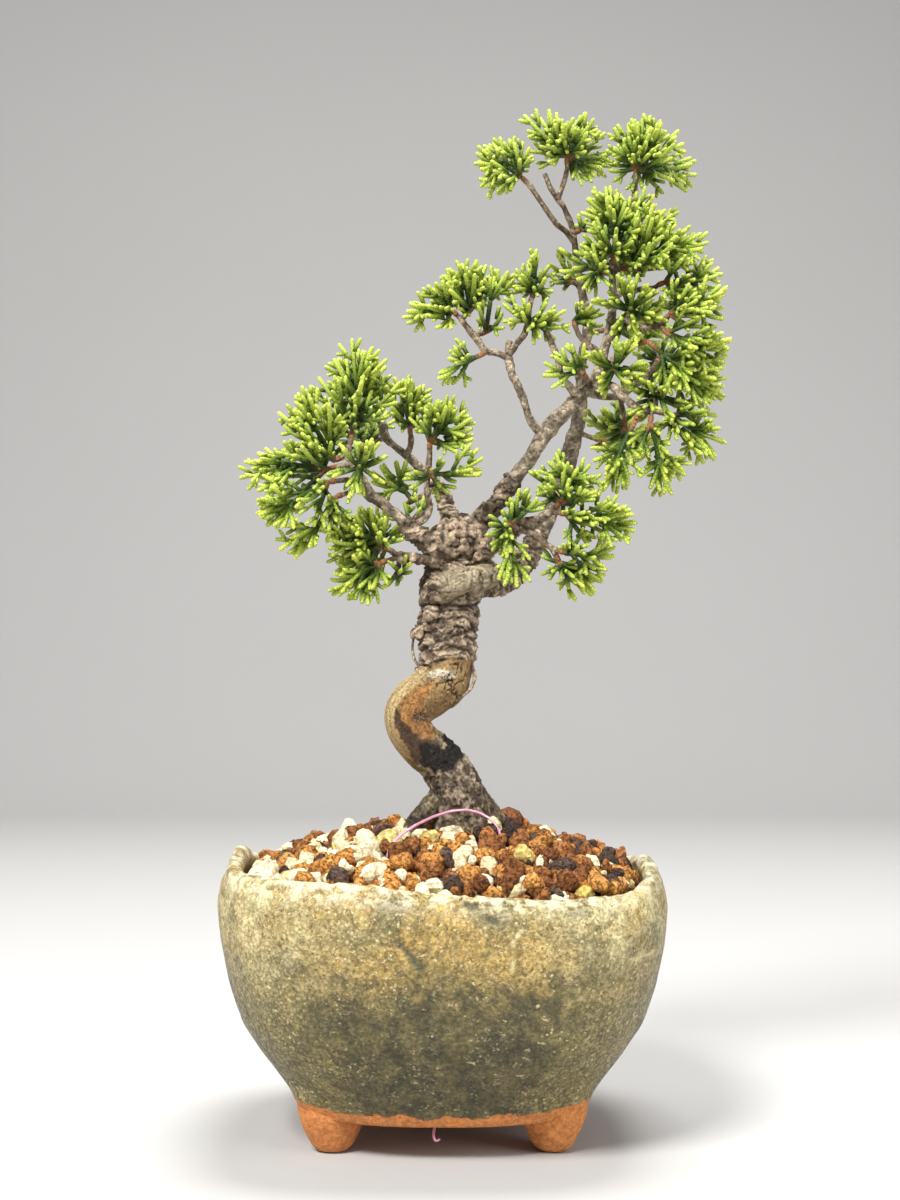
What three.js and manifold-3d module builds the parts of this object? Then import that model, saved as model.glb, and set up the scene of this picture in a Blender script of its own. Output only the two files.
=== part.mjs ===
// Itoigawa juniper bonsai in a footed, glazed pot. Millimetres, +Z up, the viewer looks along +Y.
// The design is drawn round the pot's centre line and moved at the end, so that the middle of
// the underside of the whole tree's box is the origin.

import * as THREE from 'three';
import { mergeVertices } from 'three/addons/utils/BufferGeometryUtils.js';
import Module from 'manifold-3d';

const wasm = await Module();
wasm.setup();

// Driving dimensions

const GAP = 0.35;                  // between pieces that touch
const BARK_CUT = 0.4;              // room round the wood in its hole in the soil
const WIRE_CUT = 0.7;              // and round the wire in its own
const OVERCUT = 1;                 // how far a cutting shape reaches past what it cuts
const MERGE = 1e-4;                // corners nearer than this are one
const PARALLEL = 1e-9;             // under this, two straight pieces run alongside
const NEARLY_ALONG = 0.2;          // under this, a flattened axis gives no direction

const POT = {
  half: 48.3,                      // half the width at the belly
  baseHeight: 7.5,                 // underside above the table
  rimHeight: 58,                   // height that the outline is drawn to
  floorTop: 12,
  wall: 5,
  rimWall: 3.6,
  corner: 3.4,                     // exponent of the rounded square at the rim
  cornerBase: 2.6,                 // and at the base
  drainRadius: 6,
  drainSides: 12,
  sides: 42,
};
// half width of the outside as a share of POT.half, and height as a share of base to rim
const POT_OUTLINE = [
  [0.645, 0], [0.667, 0.025], [0.723, 0.11], [0.82, 0.24], [0.901, 0.365], [0.954, 0.525],
  [0.989, 0.7], [1, 0.85], [0.985, 0.937], [0.948, 1],
];
const POT_INSIDE = [1, 0.937, 0.7, 0.365, 0.24];   // height shares of the inner wall's rows
// rim height round the pot: angle in degrees from the right ear, anticlockwise seen from above
const RIM = [
  [0, 59.5], [22, 57.5], [50, 56.5], [90, 56], [130, 56.5], [160, 58.5], [180, 62], [198, 60],
  [225, 58.5], [250, 58.2], [262, 57], [275, 55.8], [300, 55], [312, 55.4], [335, 58], [360, 59.5],
];
const FOOT = { x: 23, y: 19.5, sides: 10 };
const FOOT_PROFILE = [
  [0, 0], [3.3, 0], [4.3, 1.1], [6, 4.8], [7.5, 8.6], [7.6, 10.4], [6.8, 11.7], [0, 11.7],
];

const SOIL = {
  rings: 14,                       // lattice rings; the last has two points a pot side
  wallShares: [0.937, 0.7, 0.365],   // height shares of the rows of the soil's side
  edgeHeight: 55.6,
  belowRim: 0.6,                   // least step from the rim down to the soil's edge
  rise: 9.4,                       // of the mound's middle over its edge
  peak: { x: 12, y: 5, height: 3.2, spread: 5.5 },
  grainHeight: [1.2, 2.7],
  dustHeight: 0.5,                 // most that the surface between grains rises
  jitter: 0.45,
};

const MESH = { size: 17.6, thick: 0.8, pitch: 3.2, hole: 2, holes: 4 };
const WIRE_RADIUS = 0.3;
const TWIG = { root: 0.65, tip: 0.55 };
const STEPS = { trunk: 30, root: 4, twist: 7 };
const SIDES = { trunk: 12, root: 6, twist: 6, twig: 3, wire: 6, wireHole: 4 };
const LIMB_SIDES = [[1.8, 6], [1.3, 5], [0, 4]];      // a limb over this radius has these sides
const FLUTES = [[3, 0.05, 0.13], [5, 0.03, -0.21]];   // round the trunk: number, depth, twist
const FOLDS = { depth: 0.04, pace: 1.9, sway: 1.2, from: 100, below: 0.2 };
const SHOOT = {
  base: 0.76,                      // radius of a branchlet's three corners where it starts
  tip: 0.62,                       // and at its blunt tip
  angle: 40,                       // between a branchlet and the stem that it leaves
  collar: 1.3,                     // straight stretch of the stem beyond its twig
  spacing: 1.5,                    // along the stem, between places where branchlets leave
  longest: 2.25,                   // stretch that may carry a branchlet
  stemShare: 0.62,                 // stem length as a share of the way to the middle of the tips
  rolls: [72, -72, 165],           // turns round the stem that give a spray its depth
  copyLength: 0.88,
  forkFrom: 8,                     // branchlets longer than this carry side shoots
  forkAt: 0.5,
  forkShare: 0.42,
  lengths: [1, 0.8, 0.62],         // shares of its length that a branchlet may be cut back to
  shortest: 2.5,
  rooted: 1.6,                     // stretch next to the stem that may touch its neighbours
  crowding: 0.85,                  // how near two shoots of a spray may come, of touching
  clear: 0.28,                     // least air between the shoots of two sprays
};
const ROOT = { facing: 0.25, away: 2.2, tries: 4 };   // choice of the face a branchlet leaves

// Wood: centre lines [x, y, z, radius], each from its parent outwards

const TRUNK = [
  [4, -2, 42, 3], [4, -2, 50, 5.2], [4, -2, 58, 6.4], [4, -2.5, 64, 6.6], [4, -3, 68, 6.2],
  [3.5, -4, 72, 5.7], [2.2, -4.5, 76, 5.3], [-0.5, -5, 80, 4.9], [-4, -5.5, 83, 4.9],
  [-7.2, -6, 87, 4.9], [-7.6, -5.5, 90.6, 5.3], [-5.9, -4, 93.2, 5.4], [-3, -2.5, 95.2, 5.5],
  [-0.1, -1.5, 97.6, 5.5], [0.9, -1, 100.6, 5.6], [1, -1, 104, 5.9], [1, -0.5, 107, 5.8],
  [1, 0, 110, 6.3], [1.5, 0, 113.5, 6.1], [1.5, 0, 117, 6.5], [2.5, 0.5, 120.5, 6.4],
  [3.5, 1, 123.5, 6], [4, 1, 127, 5.4], [4.6, 1, 130, 4.2],
];
const ROOTS = {
  root_left: [[0.5, -4, 73, 3], [-3.5, -6, 69.5, 2.2], [-6.5, -8, 66.5, 1.6], [-9, -10, 61, 1.1]],
  root_right: [[6, -1, 73, 3], [10, 0, 69, 2.2], [13, 1, 65, 1.6], [15, 2, 60, 1]],
  root_back: [[4, 1, 73, 3], [3, 6, 68.5, 2.2], [1, 10, 64.5, 1.6], [0, 13, 60, 1]],
  root_front: [[5, -6, 70, 2.4], [7, -9, 66, 1.8], [9, -12, 61, 1.1]],
};
const TWIST = [
  [-3, -2, 115.5, 1.6], [-2, -5, 117, 2.4], [0.5, -7.4, 118.5, 2.8], [4, -8.2, 119.6, 2.9],
  [7.5, -7.2, 120.2, 2.8], [9.8, -4.4, 121, 2.5], [9.4, -0.5, 122.6, 2],
];
const LIMBS = {
  limb_left: [
    [2.5, -2, 125, 2.7], [-0.5, -5, 127, 2.2], [-3, -6, 128, 1.9], [-5.5, -7, 129.6, 1.75],
    [-8.5, -8, 132.4, 1.35], [-11, -8, 134.8, 1.15], [-14, -8.5, 137, 1.2],
    [-16, -9, 138.5, 1.35], [-17.5, -8.5, 141, 1.15], [-19.5, -7, 145, 1], [-21, -5, 148, 0.8],
  ],
  twig_left_up: [
    [-6.5, -7, 131.5, 0.9], [-4, -6, 133.5, 0.85], [-3, -5, 136, 0.75], [-3.5, -5, 139, 0.7],
    [-3.5, -4, 142.5, 0.7], [-3, -4, 147.5, 0.65],
  ],
  limb_left_back: [
    [2.5, 3, 129.5, 2], [1.6, 5, 134, 1.5], [0.8, 7, 137, 1.4], [-0.5, 8, 140.5, 1.25],
    [-2.5, 9, 143.5, 1.1], [-5.5, 10, 146.5, 1.1], [-8.5, 11, 149.5, 0.95],
    [-11.5, 12, 152, 0.8], [-13.5, 13, 154, 1.1], [-14, 14, 157, 1.2],
  ],
  twig_left_back: [[-8.5, 11, 149.5, 0.75], [-7.5, 9, 151.5, 0.7], [-7.4, 7.4, 153, 0.65]],
  limb_low_left: [
    [0.5, -2, 123, 1.5], [-2, -5, 124.5, 1], [-5, -6, 124.5, 0.8], [-9.5, -6, 125, 0.7],
  ],
  leader: [
    [5, 0.5, 127, 3.4], [8, -1, 132.5, 1.9], [10.2, -1.5, 135, 1.6], [12.7, -2, 138.5, 1.6],
    [15.6, -2.5, 142.4, 1.7], [19.2, -3, 147.2, 1.65], [21.6, -3, 151.2, 1.8],
    [24.5, -3, 155, 2], [27, -3, 157.5, 1.7], [30, -3, 160.5, 1.45], [33, -3, 163.5, 1.3],
    [34.5, -3, 166.5, 1.2], [35.6, -3, 170, 1.05], [36.5, -2, 174, 1], [37.5, -1, 178.5, 0.95],
    [38, 0, 182.5, 0.9], [38, -0.5, 189, 0.8],
  ],
  back_leader: [
    [5, 3, 121, 4], [11, 10, 120.5, 3.2], [16, 15, 122.5, 2.7], [19.5, 17, 127, 2.4],
    [22.5, 19, 132, 2.1], [26, 20, 139, 1.9], [28.7, 21, 146.5, 2.1], [30, 21, 152.5, 2.1],
    [31.7, 21, 159, 1.7], [32.4, 20, 165.5, 1.35], [32.2, 19, 172, 1.25],
    [33.5, 18, 178, 1.15], [33, 16, 184, 1.1], [32, 14, 188.5, 0.95], [31, 12, 193, 0.85],
    [30, 9, 199, 0.75],
  ],
  limb_mid: [
    [22, -3, 152, 1.1], [19.3, -4, 155.5, 0.9], [18, -4, 159.5, 0.9], [16.5, -4, 163, 0.9],
    [15, -3.5, 166.5, 0.95], [14.5, -3, 169.5, 1.05],
  ],
  mid_left: [
    [14.5, -3, 169.5, 0.9], [12, -3, 170.5, 0.7], [9.5, -3, 171, 0.7], [8, -2.5, 173, 0.75],
    [6.5, -2, 175, 0.75], [4, -1, 178.5, 0.6],
  ],
  mid_stub: [[14.5, -3, 169.5, 0.8], [14.5, -2, 172.5, 0.7], [15, -2, 173.5, 0.65]],
  mid_right: [
    [14.5, -3, 170, 0.8], [16.5, -2, 173, 0.7], [18.5, -1, 176, 0.7], [19.5, 0, 182.5, 0.6],
  ],
  inner_twig: [
    [30, -3, 160.5, 1], [28, -5, 162.5, 0.85], [26, -6, 165, 0.75], [25.5, -6.5, 167.5, 0.7],
    [24.6, -6, 170.5, 0.7], [22.8, -5, 175, 0.65],
  ],
  right_up: [
    [35.5, -3, 170.5, 0.9], [37, -4, 173.7, 0.8], [38.5, -5, 176, 0.8],
    [40, -5.5, 177.4, 0.75], [43.5, -5.5, 175.8, 0.8], [48, -5, 176.4, 0.7],
  ],
  right_mid: [[34.5, -3, 166, 0.95], [38.5, -4.5, 169.5, 0.8], [41.5, -5, 171.5, 0.75]],
  right_low: [
    [33.5, -3, 163.5, 1.05], [37, -5, 163, 0.95], [39, -6, 161, 0.9], [43, -7, 157.5, 0.85],
    [46.5, -7, 157, 0.65],
  ],
  right_back: [
    [31.5, -2.6, 161.8, 0.95], [37.5, 2, 161.5, 0.75], [41, 6, 163, 0.75], [46, 9, 167, 0.65],
    [48, 10.5, 169.5, 0.6],
  ],
  small_back: [[35.5, -2, 170.5, 0.8], [33.5, 1, 172.5, 0.75], [30.8, 3.6, 175.6, 0.65]],
  upper_right: [[38, 0, 183, 0.75], [40.5, 0, 185, 0.7], [46.5, -1.4, 185.4, 0.6]],
  top_left: [
    [30, 9, 198.5, 0.75], [28, 6, 200, 0.7], [25.5, 4, 201.5, 0.65], [22, 1, 205.5, 0.6],
    [19.5, 0, 209, 0.6],
  ],
  top_mid: [
    [30, 9, 198.5, 0.75], [29.5, 9, 202, 0.7], [27.5, 7, 206, 0.65], [26, 6, 207.5, 0.65],
  ],
  top_stub: [[26, 6, 207.5, 0.65], [24.5, 5, 209.5, 0.6], [23, 3, 212.5, 0.6]],
  top_centre: [[26, 6, 207.5, 0.65], [27, 5, 210, 0.6], [28, 3.6, 213.6, 0.5]],
  top_right: [
    [38, -0.5, 188, 0.8], [39, 2, 193, 0.75], [40.5, 4, 198, 0.7], [42.5, 4, 202.5, 0.65],
    [43.5, 2, 210.6, 0.6],
  ],
  limb_front_right: [
    [6, -2, 124, 2.2], [10.5, -6, 127.5, 1.6], [13.5, -8, 129.5, 1.3], [16.5, -9, 131.5, 1.2],
    [20, -9, 132.5, 1.1], [23.6, -10, 134.6, 0.85],
  ],
  front_right_low: [[17, -9, 131, 0.8], [19.5, -10, 129.5, 0.7], [23.6, -10.4, 126.6, 0.6]],
  bare_twig: [[4.5, -1, 130.5, 0.5], [6.3, -2, 134, 0.4], [9.2, -2, 137.5, 0.35]],
};
// knobs of the callus over the old pruning wounds: [x, y, z, radius]
const CALLUS = [
  [0.5, -2.5, 130, 2.2], [3.5, -4, 127.5, 2.4], [6.8, -3.4, 129.2, 2.3], [8.2, -1.6, 126, 2.3],
  [1.6, 2.6, 131, 2.2], [5, 1.6, 132.4, 2.4], [-1, -1, 126.4, 2.4], [-5.4, -2.4, 108.4, 1.3],
];

// Sprays: hub where the green stem meets its brown twig, and the tips of its main branchlets

const SPRAYS = {
  left_outer: [[-23.5, -8, 144.5],
    [[-45.5, -7, 142], [-42, -12, 145.5], [-40, -4, 149.5], [-35, -14, 150], [-41, -11, 138.5],
      [-30.5, -20, 148], [-37.5, 0, 145]]],
  left_outer_low: [[-23.5, -12, 141],
    [[-41, -15, 133.5], [-39.5, -9, 132.5], [-34.5, -18, 129.5], [-39.5, -20, 136.5],
      [-30, -24, 135.5]]],
  left_hanging: [[-22, -12, 138],
    [[-36, -13, 125.5], [-33, -9, 126.5], [-29, -15, 125.5], [-23, -11, 127],
      [-25.5, -18, 132.5]]],
  left_upper: [[-22.5, -5, 147],
    [[-36, -5, 154.5], [-33.5, -9, 157.5], [-33, -4, 160.5], [-31.5, -1, 163], [-27.5, -7, 163],
      [-31, -15, 151.5], [-24.5, -14, 158.5]]],
  left_crown: [[-20.5, -2, 151.5],
    [[-28.5, 1, 166.5], [-24.5, -3, 170], [-20.5, -1, 175], [-17, -5, 171.5], [-14, 1, 170],
      [-12.5, 5, 169.5], [-9, -1, 165], [-22.5, 7, 169.5], [-17.5, -12, 163.5]]],
  left_inner: [[-7.5, 6, 154],
    [[-11.5, 3, 167], [-10, 10, 165.5], [-14.5, 14, 166], [-8, 4, 165.5], [-4, 8, 166],
      [-12, -4, 159], [-5, -4, 160]]],
  left_right: [[-3, -4, 149],
    [[1, -3, 162], [-1, 4, 161], [3.5, -7, 158.5], [6, -1, 159], [6, -9, 155], [7.5, -3, 154],
      [7.5, -7, 151], [-3, -11, 159]]],
  left_sprig: [[-3, -7, 143],
    [[9.5, -8, 147], [4, -5, 143.5], [1, -10, 146.5], [2, -5, 138.5], [-8, -11, 139]]],
  left_behind: [[-5.5, 8, 139.5],
    [[-11, 9, 149], [-9, 9, 138.5], [-6, 7, 142.5], [-15, 8, 147.5], [-17.5, 14, 144],
      [-10, 15, 144.5]]],
  under_limb: [[-7, 2, 133.5],
    [[-4.5, 3, 137.5], [-2.5, 6, 132], [-2.5, 2, 129.5], [-4, 7, 140.5], [-9, 10, 139]]],
  low_left_top: [[-12, -6, 126.5],
    [[-29, -5, 132.5], [-25.5, -11, 128.5], [-22.5, -7, 135], [-18, -3, 136.5],
      [-12.5, -9, 134.5], [-9, -6, 131], [-20, -16, 131], [-13.5, -16, 130]]],
  low_left: [[-12.5, -7, 124],
    [[-26, -8, 125.5], [-25.5, -6, 120], [-25, -8, 116], [-21.5, -3, 115], [-19.5, -9, 114.5],
      [-15.5, -14, 117], [-22, -16, 121.5]]],
  low_left_right: [[-9.8, -5, 123.2],
    [[-8.5, -5, 119.5], [-6, -3, 122], [-6.5, -8, 124], [-10.5, 0, 118.5], [-14, -8, 117.5]]],
  low_left_back: [[-12.5, 3, 127.5],
    [[-25, 12, 132.5], [-22, 18, 136.5], [-14.5, 14, 136.5], [-10.5, 8, 133], [-24, 14, 125.5],
      [-18, 12, 120]]],
  mid_left: [[3, -1, 179.5],
    [[-9, -5, 179.5], [-9, -2, 177], [-7, 4, 182], [-4, -3, 185], [-2.5, 5, 185.5],
      [-2, -7, 175], [-4, -9, 180]]],
  mid_top: [[5.5, 2, 180.5],
    [[0, 1, 191], [-0.5, 8, 189.5], [1, -8, 184], [4, 4, 193], [5.5, -3, 192.5], [8, 0, 193],
      [10, 5, 193], [7, -9, 187.5]]],
  mid_right_sprig: [[8.5, 0, 175.5],
    [[14.5, -1, 189.5], [12.5, 4, 191], [10.5, -3, 188.5], [7.5, -5, 181.5]]],
  mid_low_sprig: [[9, -6, 170],
    [[0.5, -8, 170.5], [-2, -8, 163.5], [1.5, -5, 162.5], [2, -12, 166.5]]],
  centre: [[20, 1, 184],
    [[15, 0, 187], [17, -4, 188.5], [21, 0, 195.5], [19, 5, 193], [23, -5, 187.5],
      [24.5, 1, 192], [24.5, 6, 187]]],
  centre_low: [[19, -3, 176.5],
    [[12.5, -4, 182], [17.5, -8, 182], [15.5, 1, 181.5], [21.5, -7, 172.5], [29, -5, 176.5],
      [26, -2, 180], [23, -10, 181]]],
  centre_back: [[30.5, 15.4, 190.5],
    [[26, 15, 198], [28, 20, 196.5], [36, 16, 193.5], [34, 20, 190.5], [25, 16, 190.5],
      [33, 19, 197]]],
  inner_sprig: [[31.5, -6, 164.5],
    [[26, -6, 172], [28.5, -3, 172.5], [25, -9, 168], [21, -6, 165]]],
  inner_fan: [[30, 5, 178],
    [[37.5, 7, 181.5], [37, 4, 178], [34.5, 9, 184.5], [32, 3, 183]]],
  top_left: [[18.5, 0, 210],
    [[6.5, -1, 216.5], [9, -5, 216.5], [7, 0, 210.5], [7.5, 4, 215], [11, 3, 220.5],
      [15.5, -3, 219], [13, 8, 219], [17, -6, 214], [10.5, -7, 210.5]]],
  top_centre: [[28, 3, 215],
    [[17.5, 1, 226], [21.5, 6, 227], [24.5, -3, 223], [28, 1, 224.5], [31.5, 4, 227],
      [34.5, 0, 225], [36.5, 6, 223.5], [39.5, 2, 217.5], [39, 4, 214.5], [35, 0, 210.5],
      [22.5, -5, 217], [32.5, 10, 220.5]]],
  top_right: [[43.5, 2, 212],
    [[38, 0, 223], [42, 5, 225.5], [43.5, -3, 223.5], [47, 2, 226.5], [51, 1, 222.5],
      [55.5, 4, 220], [57, 0, 214], [58.5, 4, 212.5], [36.5, 2, 213], [40.5, 8, 217.5],
      [47, -6, 216], [50, 9, 214.5]]],
  top_bud: [[30.5, 8, 200.5], [[30.5, 6, 205], [32, 10, 203.5], [35.5, 5, 201]]],
  upper_crown: [[38, -2, 191],
    [[32.5, 0, 206], [36, 7, 206.5], [37, -2, 207], [39.5, 5, 208.5], [41.5, -5, 203.5],
      [45.5, 3, 208], [48, 0, 207.5], [43, -11, 199.5], [34.5, -8, 197.5], [33, 3, 197.5],
      [37.5, -13, 195]]],
  upper_right: [[40, 1, 190.5],
    [[52, 4, 205.5], [51, -3, 200.5], [55.5, 0, 200], [58.5, 6, 197], [60.5, 1, 196.5],
      [57, -5, 190.5], [46.5, -8, 200.5], [50.5, -12, 193], [45, -14, 193]]],
  upper_left: [[36, -3, 188.5],
    [[25.5, -3, 194], [28, -8, 188.5], [30, -4, 195], [32.5, -12, 191], [34, -10, 184.5],
      [29.5, 1, 188]]],
  right_long: [[48, -2, 186],
    [[62.5, -1, 190.5], [59, 5, 191.5], [56.5, -6, 186.5], [61, 4, 186], [54, -9, 181]]],
  right_upper: [[49, -6, 177.5],
    [[62, -1, 186], [63, -5, 177.5], [62.5, 2, 183], [56, -12, 181], [58.5, -12, 179],
      [55.5, 2, 186]]],
  right_mid: [[48.5, -7, 175],
    [[62, -5, 174.5], [62.5, -1, 172], [61, 3, 169.5], [59.5, -12, 172], [55.5, -15, 169],
      [61, -7, 165]]],
  right_low: [[43.5, -7, 172],
    [[63, -4, 162.5], [62.5, 1, 161.5], [59.5, -6, 158.5], [62, 5, 167], [55.5, -12, 165],
      [54, -11, 160], [50.5, -7, 159.5]]],
  low_right_outer: [[48.5, -7, 156.5],
    [[61, -2, 155], [58.5, -6, 151], [60, 2, 150], [58.5, -5, 147], [58.5, 0, 145.5],
      [60.5, 3, 159], [53.5, -13, 153], [54.5, -12, 149]]],
  low_right_down: [[45.5, -8, 155.5],
    [[54, -6, 142.5], [51, -10, 142.5], [49, -4, 143.5], [48, -4, 137.5], [45, -7, 139],
      [47.5, 1, 143], [48.5, -14, 146.5]]],
  low_right_sprig: [[42.5, -8, 156],
    [[32, -8, 145.5], [38, -6, 138], [34.5, -4, 147], [40.5, -9, 139.5], [35, -10, 141]]],
  inner_right: [[41, 6, 157],
    [[31, 9, 158], [35, 14, 157], [33.5, 8, 153], [41, 14, 152.5], [37, 12, 160],
      [43.5, 12, 153]]],
  inner_back: [[49, 12, 171],
    [[43.5, 18, 175], [47.5, 16, 176], [53, 16, 174.5], [55.5, 18, 170], [53, 22, 166.5],
      [47.5, 24, 168], [57, 14, 164]]],
  front_right_top: [[24.5, -11, 135.5],
    [[19.5, -8, 144.5], [21.5, -4, 141.5], [23.5, -4, 147], [26, -9, 146], [30.5, -7, 145],
      [32.5, -2, 143], [35.5, -6, 143.5], [27.5, -15, 142], [34, -11, 139]]],
  front_right_mid: [[25.5, -12, 134],
    [[40.5, -12, 136], [37, -7, 138], [37.5, -16, 133], [42, -10, 130.5], [41.5, -7, 128.5],
      [40.5, -4, 133], [33.5, -20, 131], [30.5, -21, 133.5]]],
  front_right_low: [[25, -11, 126],
    [[38, -12, 127], [37.5, -8, 124.5], [35.5, -13, 122], [33, -18, 124], [29, -20, 126.5]]],
  front_right_hang: [[24.5, -10, 125],
    [[35.5, -10, 119], [33.5, -6, 117.5], [29.5, -12, 118], [27.5, -8, 117], [25.5, -14, 119],
      [22.5, -10, 119], [20.5, -8, 125.5]]],
  front_right_near: [[15, -11.5, 131.5],
    [[9, -12, 131.5], [14, -10, 135.5], [16.5, -12, 137.5], [19.5, -8, 139], [9.5, -14, 126.5],
      [12.5, -12, 123.5], [13.5, -18, 128], [16, -13, 117], [14.5, -18, 124.5]]],
  back_upper: [[34.5, 13, 193.5],
    [[42, 24, 202.5], [47, 28, 198], [37.5, 26, 204.5], [48.5, 20, 199], [43.5, 30, 193],
      [38, 32, 199]]],
  back_right: [[37, 20, 180],
    [[49.5, 30, 187], [56.5, 28, 182], [47.5, 34, 191.5], [54, 22, 188], [51.5, 36, 181],
      [43, 36, 187]]],
  back_low_right: [[36, 24, 155],
    [[47.5, 34, 158.5], [54.5, 30, 155.5], [49, 26, 151.5], [42, 38, 154], [54, 24, 159.5],
      [45, 32, 148.5]]],
  back_left: [[-16.5, 16, 152.5],
    [[-27, 26, 160], [-22.5, 28, 166], [-31, 22, 154.5], [-16.5, 32, 165.5], [-25, 30, 150.5],
      [-33.5, 16, 150]]],
};

// Tie wire: up one leg, over the roots in front of the trunk, down the other leg
const WIRE = [
  [-0.6, -24.6, 3.6], [-1.4, -25.1, 3], [-2, -25, 4.2], [-1.6, -23.6, 6.3], [-1.6, -4, 6.4],
  [-1.6, -1.6, 8], [-1.6, -1.6, 16], [-11.6, -24.6, 61], [-11, -24, 63.4], [-9, -22.4, 65.6],
  [-5.5, -19, 67.6], [-2, -15.4, 69], [1.5, -12.4, 69.9], [5, -10.9, 70.1], [8, -11, 69.4],
  [10.5, -11.8, 68], [12, -12.6, 66], [12.4, -13, 62.5], [1.6, -1.6, 16], [1.6, -1.6, 8],
  [1.6, 0.8, 6.4], [1.6, 9, 6.2],
];

// Finishes

const FINISH = {
  glaze: { color: 0x8a8560, roughness: 0.45, metalness: 0 },
  soil: { color: 0x8f5a35, roughness: 0.95, metalness: 0 },
  plastic: { color: 0x20221f, roughness: 0.6, metalness: 0 },
  wire: { color: 0xc98aa6, roughness: 0.4, metalness: 0.4 },
  bark: { color: 0x84705c, roughness: 0.9, metalness: 0 },
  leaf: { color: 0x7fae2e, roughness: 0.6, metalness: 0 },
};

// Solids

const vec = ([x, y, z]) => new THREE.Vector3(x, y, z);

// a repeatable draw from 0 to 1 for each pair of whole numbers
function draw(row, column) {
  const value = Math.sin(row * 12.9898 + column * 78.233) * 43758.5453;
  return value - Math.floor(value);
}

function solidOf(geometry) {
  const plain = geometry.index ? geometry.toNonIndexed() : geometry.clone();
  plain.deleteAttribute('normal');
  plain.deleteAttribute('uv');
  const merged = mergeVertices(plain, MERGE);
  return new wasm.Manifold(new wasm.Mesh({
    numProp: 3,
    vertProperties: new Float32Array(merged.attributes.position.array),
    triVerts: new Uint32Array(merged.index.array),
  }));
}

function geometryOf(solid) {
  const mesh = solid.getMesh();
  const geometry = new THREE.BufferGeometry();
  geometry.setAttribute('position', new THREE.BufferAttribute(mesh.vertProperties, 3));
  geometry.setIndex(new THREE.BufferAttribute(mesh.triVerts, 1));
  geometry.computeVertexNormals();
  return geometry;
}

function indexed(points, triangles) {
  const geometry = new THREE.BufferGeometry();
  geometry.setAttribute('position', new THREE.Float32BufferAttribute(points, 3));
  geometry.setIndex(triangles);
  return geometry;
}

// a direction square to the heading, taken from Y, or from X where the heading runs along Y
function squareTo(heading) {
  const side = new THREE.Vector3(0, 1, 0).projectOnPlane(heading);
  if (side.length() < NEARLY_ALONG) side.set(1, 0, 0).projectOnPlane(heading);
  return side.normalize();
}

// straight pieces between [x, y, z, radius] stations, closed at both ends; grow fattens it
function tube(stations, sides, grow = 0, relief = () => 1) {
  const centres = stations.map(vec);
  const last = centres.length - 1;
  const heading = (i) => new THREE.Vector3()
    .subVectors(centres[Math.min(i + 1, last)], centres[Math.max(i - 1, 0)]).normalize();
  const side = squareTo(heading(0));
  const points = [];
  const triangles = [];
  centres.forEach((centre, i) => {
    const along = heading(i);
    side.projectOnPlane(along).normalize();
    const across = new THREE.Vector3().crossVectors(along, side);
    const push = i === 0 ? -grow : (i === last ? grow : 0);
    for (let k = 0; k < sides; k += 1) {
      const angle = (2 * Math.PI * k) / sides;
      const radius = stations[i][3] * relief(angle, centre.z) + grow;
      const point = centre.clone().addScaledVector(along, push)
        .addScaledVector(side, radius * Math.cos(angle))
        .addScaledVector(across, radius * Math.sin(angle));
      points.push(point.x, point.y, point.z);
    }
  });
  for (let i = 0; i < last; i += 1) {
    for (let k = 0; k < sides; k += 1) {
      const next = (k + 1) % sides;
      const [a, b] = [i * sides + k, i * sides + next];
      const [c, d] = [a + sides, b + sides];
      triangles.push(a, b, d, a, d, c);
    }
  }
  for (let k = 1; k < sides - 1; k += 1) {
    triangles.push(0, k + 1, k);
    triangles.push(last * sides, last * sides + k, last * sides + k + 1);
  }
  return solidOf(indexed(points, triangles));
}

// the same centre line with a smooth curve through its stations
function smooth(stations, steps) {
  const curve = new THREE.CatmullRomCurve3(stations.map(vec), false, 'centripetal');
  return Array.from({ length: steps + 1 }, (_, i) => {
    const along = (i / steps) * (stations.length - 1);
    const low = Math.min(Math.floor(along), stations.length - 2);
    const point = curve.getPoint(i / steps);
    const radius = THREE.MathUtils.lerp(stations[low][3], stations[low + 1][3], along - low);
    return [point.x, point.y, point.z, radius];
  });
}

const join = (solids) => solids.reduce((whole, solid) => whole.add(solid));

// Pot

// the stretch of a list of [x, y] pairs that holds x, and x's share along it
function stretch(pairs, x) {
  const next = Math.max(1, pairs.findIndex((pair) => pair[0] >= x));
  const [[x0, y0], [x1, y1]] = [pairs[next - 1], pairs[next]];
  return { y0, y1, share: (x - x0) / (x1 - x0) };
}

function rimAt(angle) {
  const { y0, y1, share } = stretch(RIM, THREE.MathUtils.radToDeg(angle));
  return THREE.MathUtils.lerp(y0, y1, THREE.MathUtils.smoothstep(share, 0, 1));
}

// outside half width at a height share
function potHalf(rise) {
  const { y0, y1, share } = stretch(POT_OUTLINE.map(([half, height]) => [height, half]), rise);
  return POT.half * THREE.MathUtils.lerp(y0, y1, share);
}

// height of a share of the wall, stretched towards the uneven rim
function potHeight(rise, angle) {
  const top = THREE.MathUtils.lerp(POT.rimHeight, rimAt(angle), rise ** 3);
  return POT.baseHeight + rise * (top - POT.baseHeight);
}

const floorRise = (POT.floorTop - POT.baseHeight) / (POT.rimHeight - POT.baseHeight);

// distance from the middle to a rounded square of the given half width
function squareRound(half, angle, exponent) {
  const reach = Math.abs(Math.cos(angle)) ** exponent + Math.abs(Math.sin(angle)) ** exponent;
  return half * reach ** (-1 / exponent);
}

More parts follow.
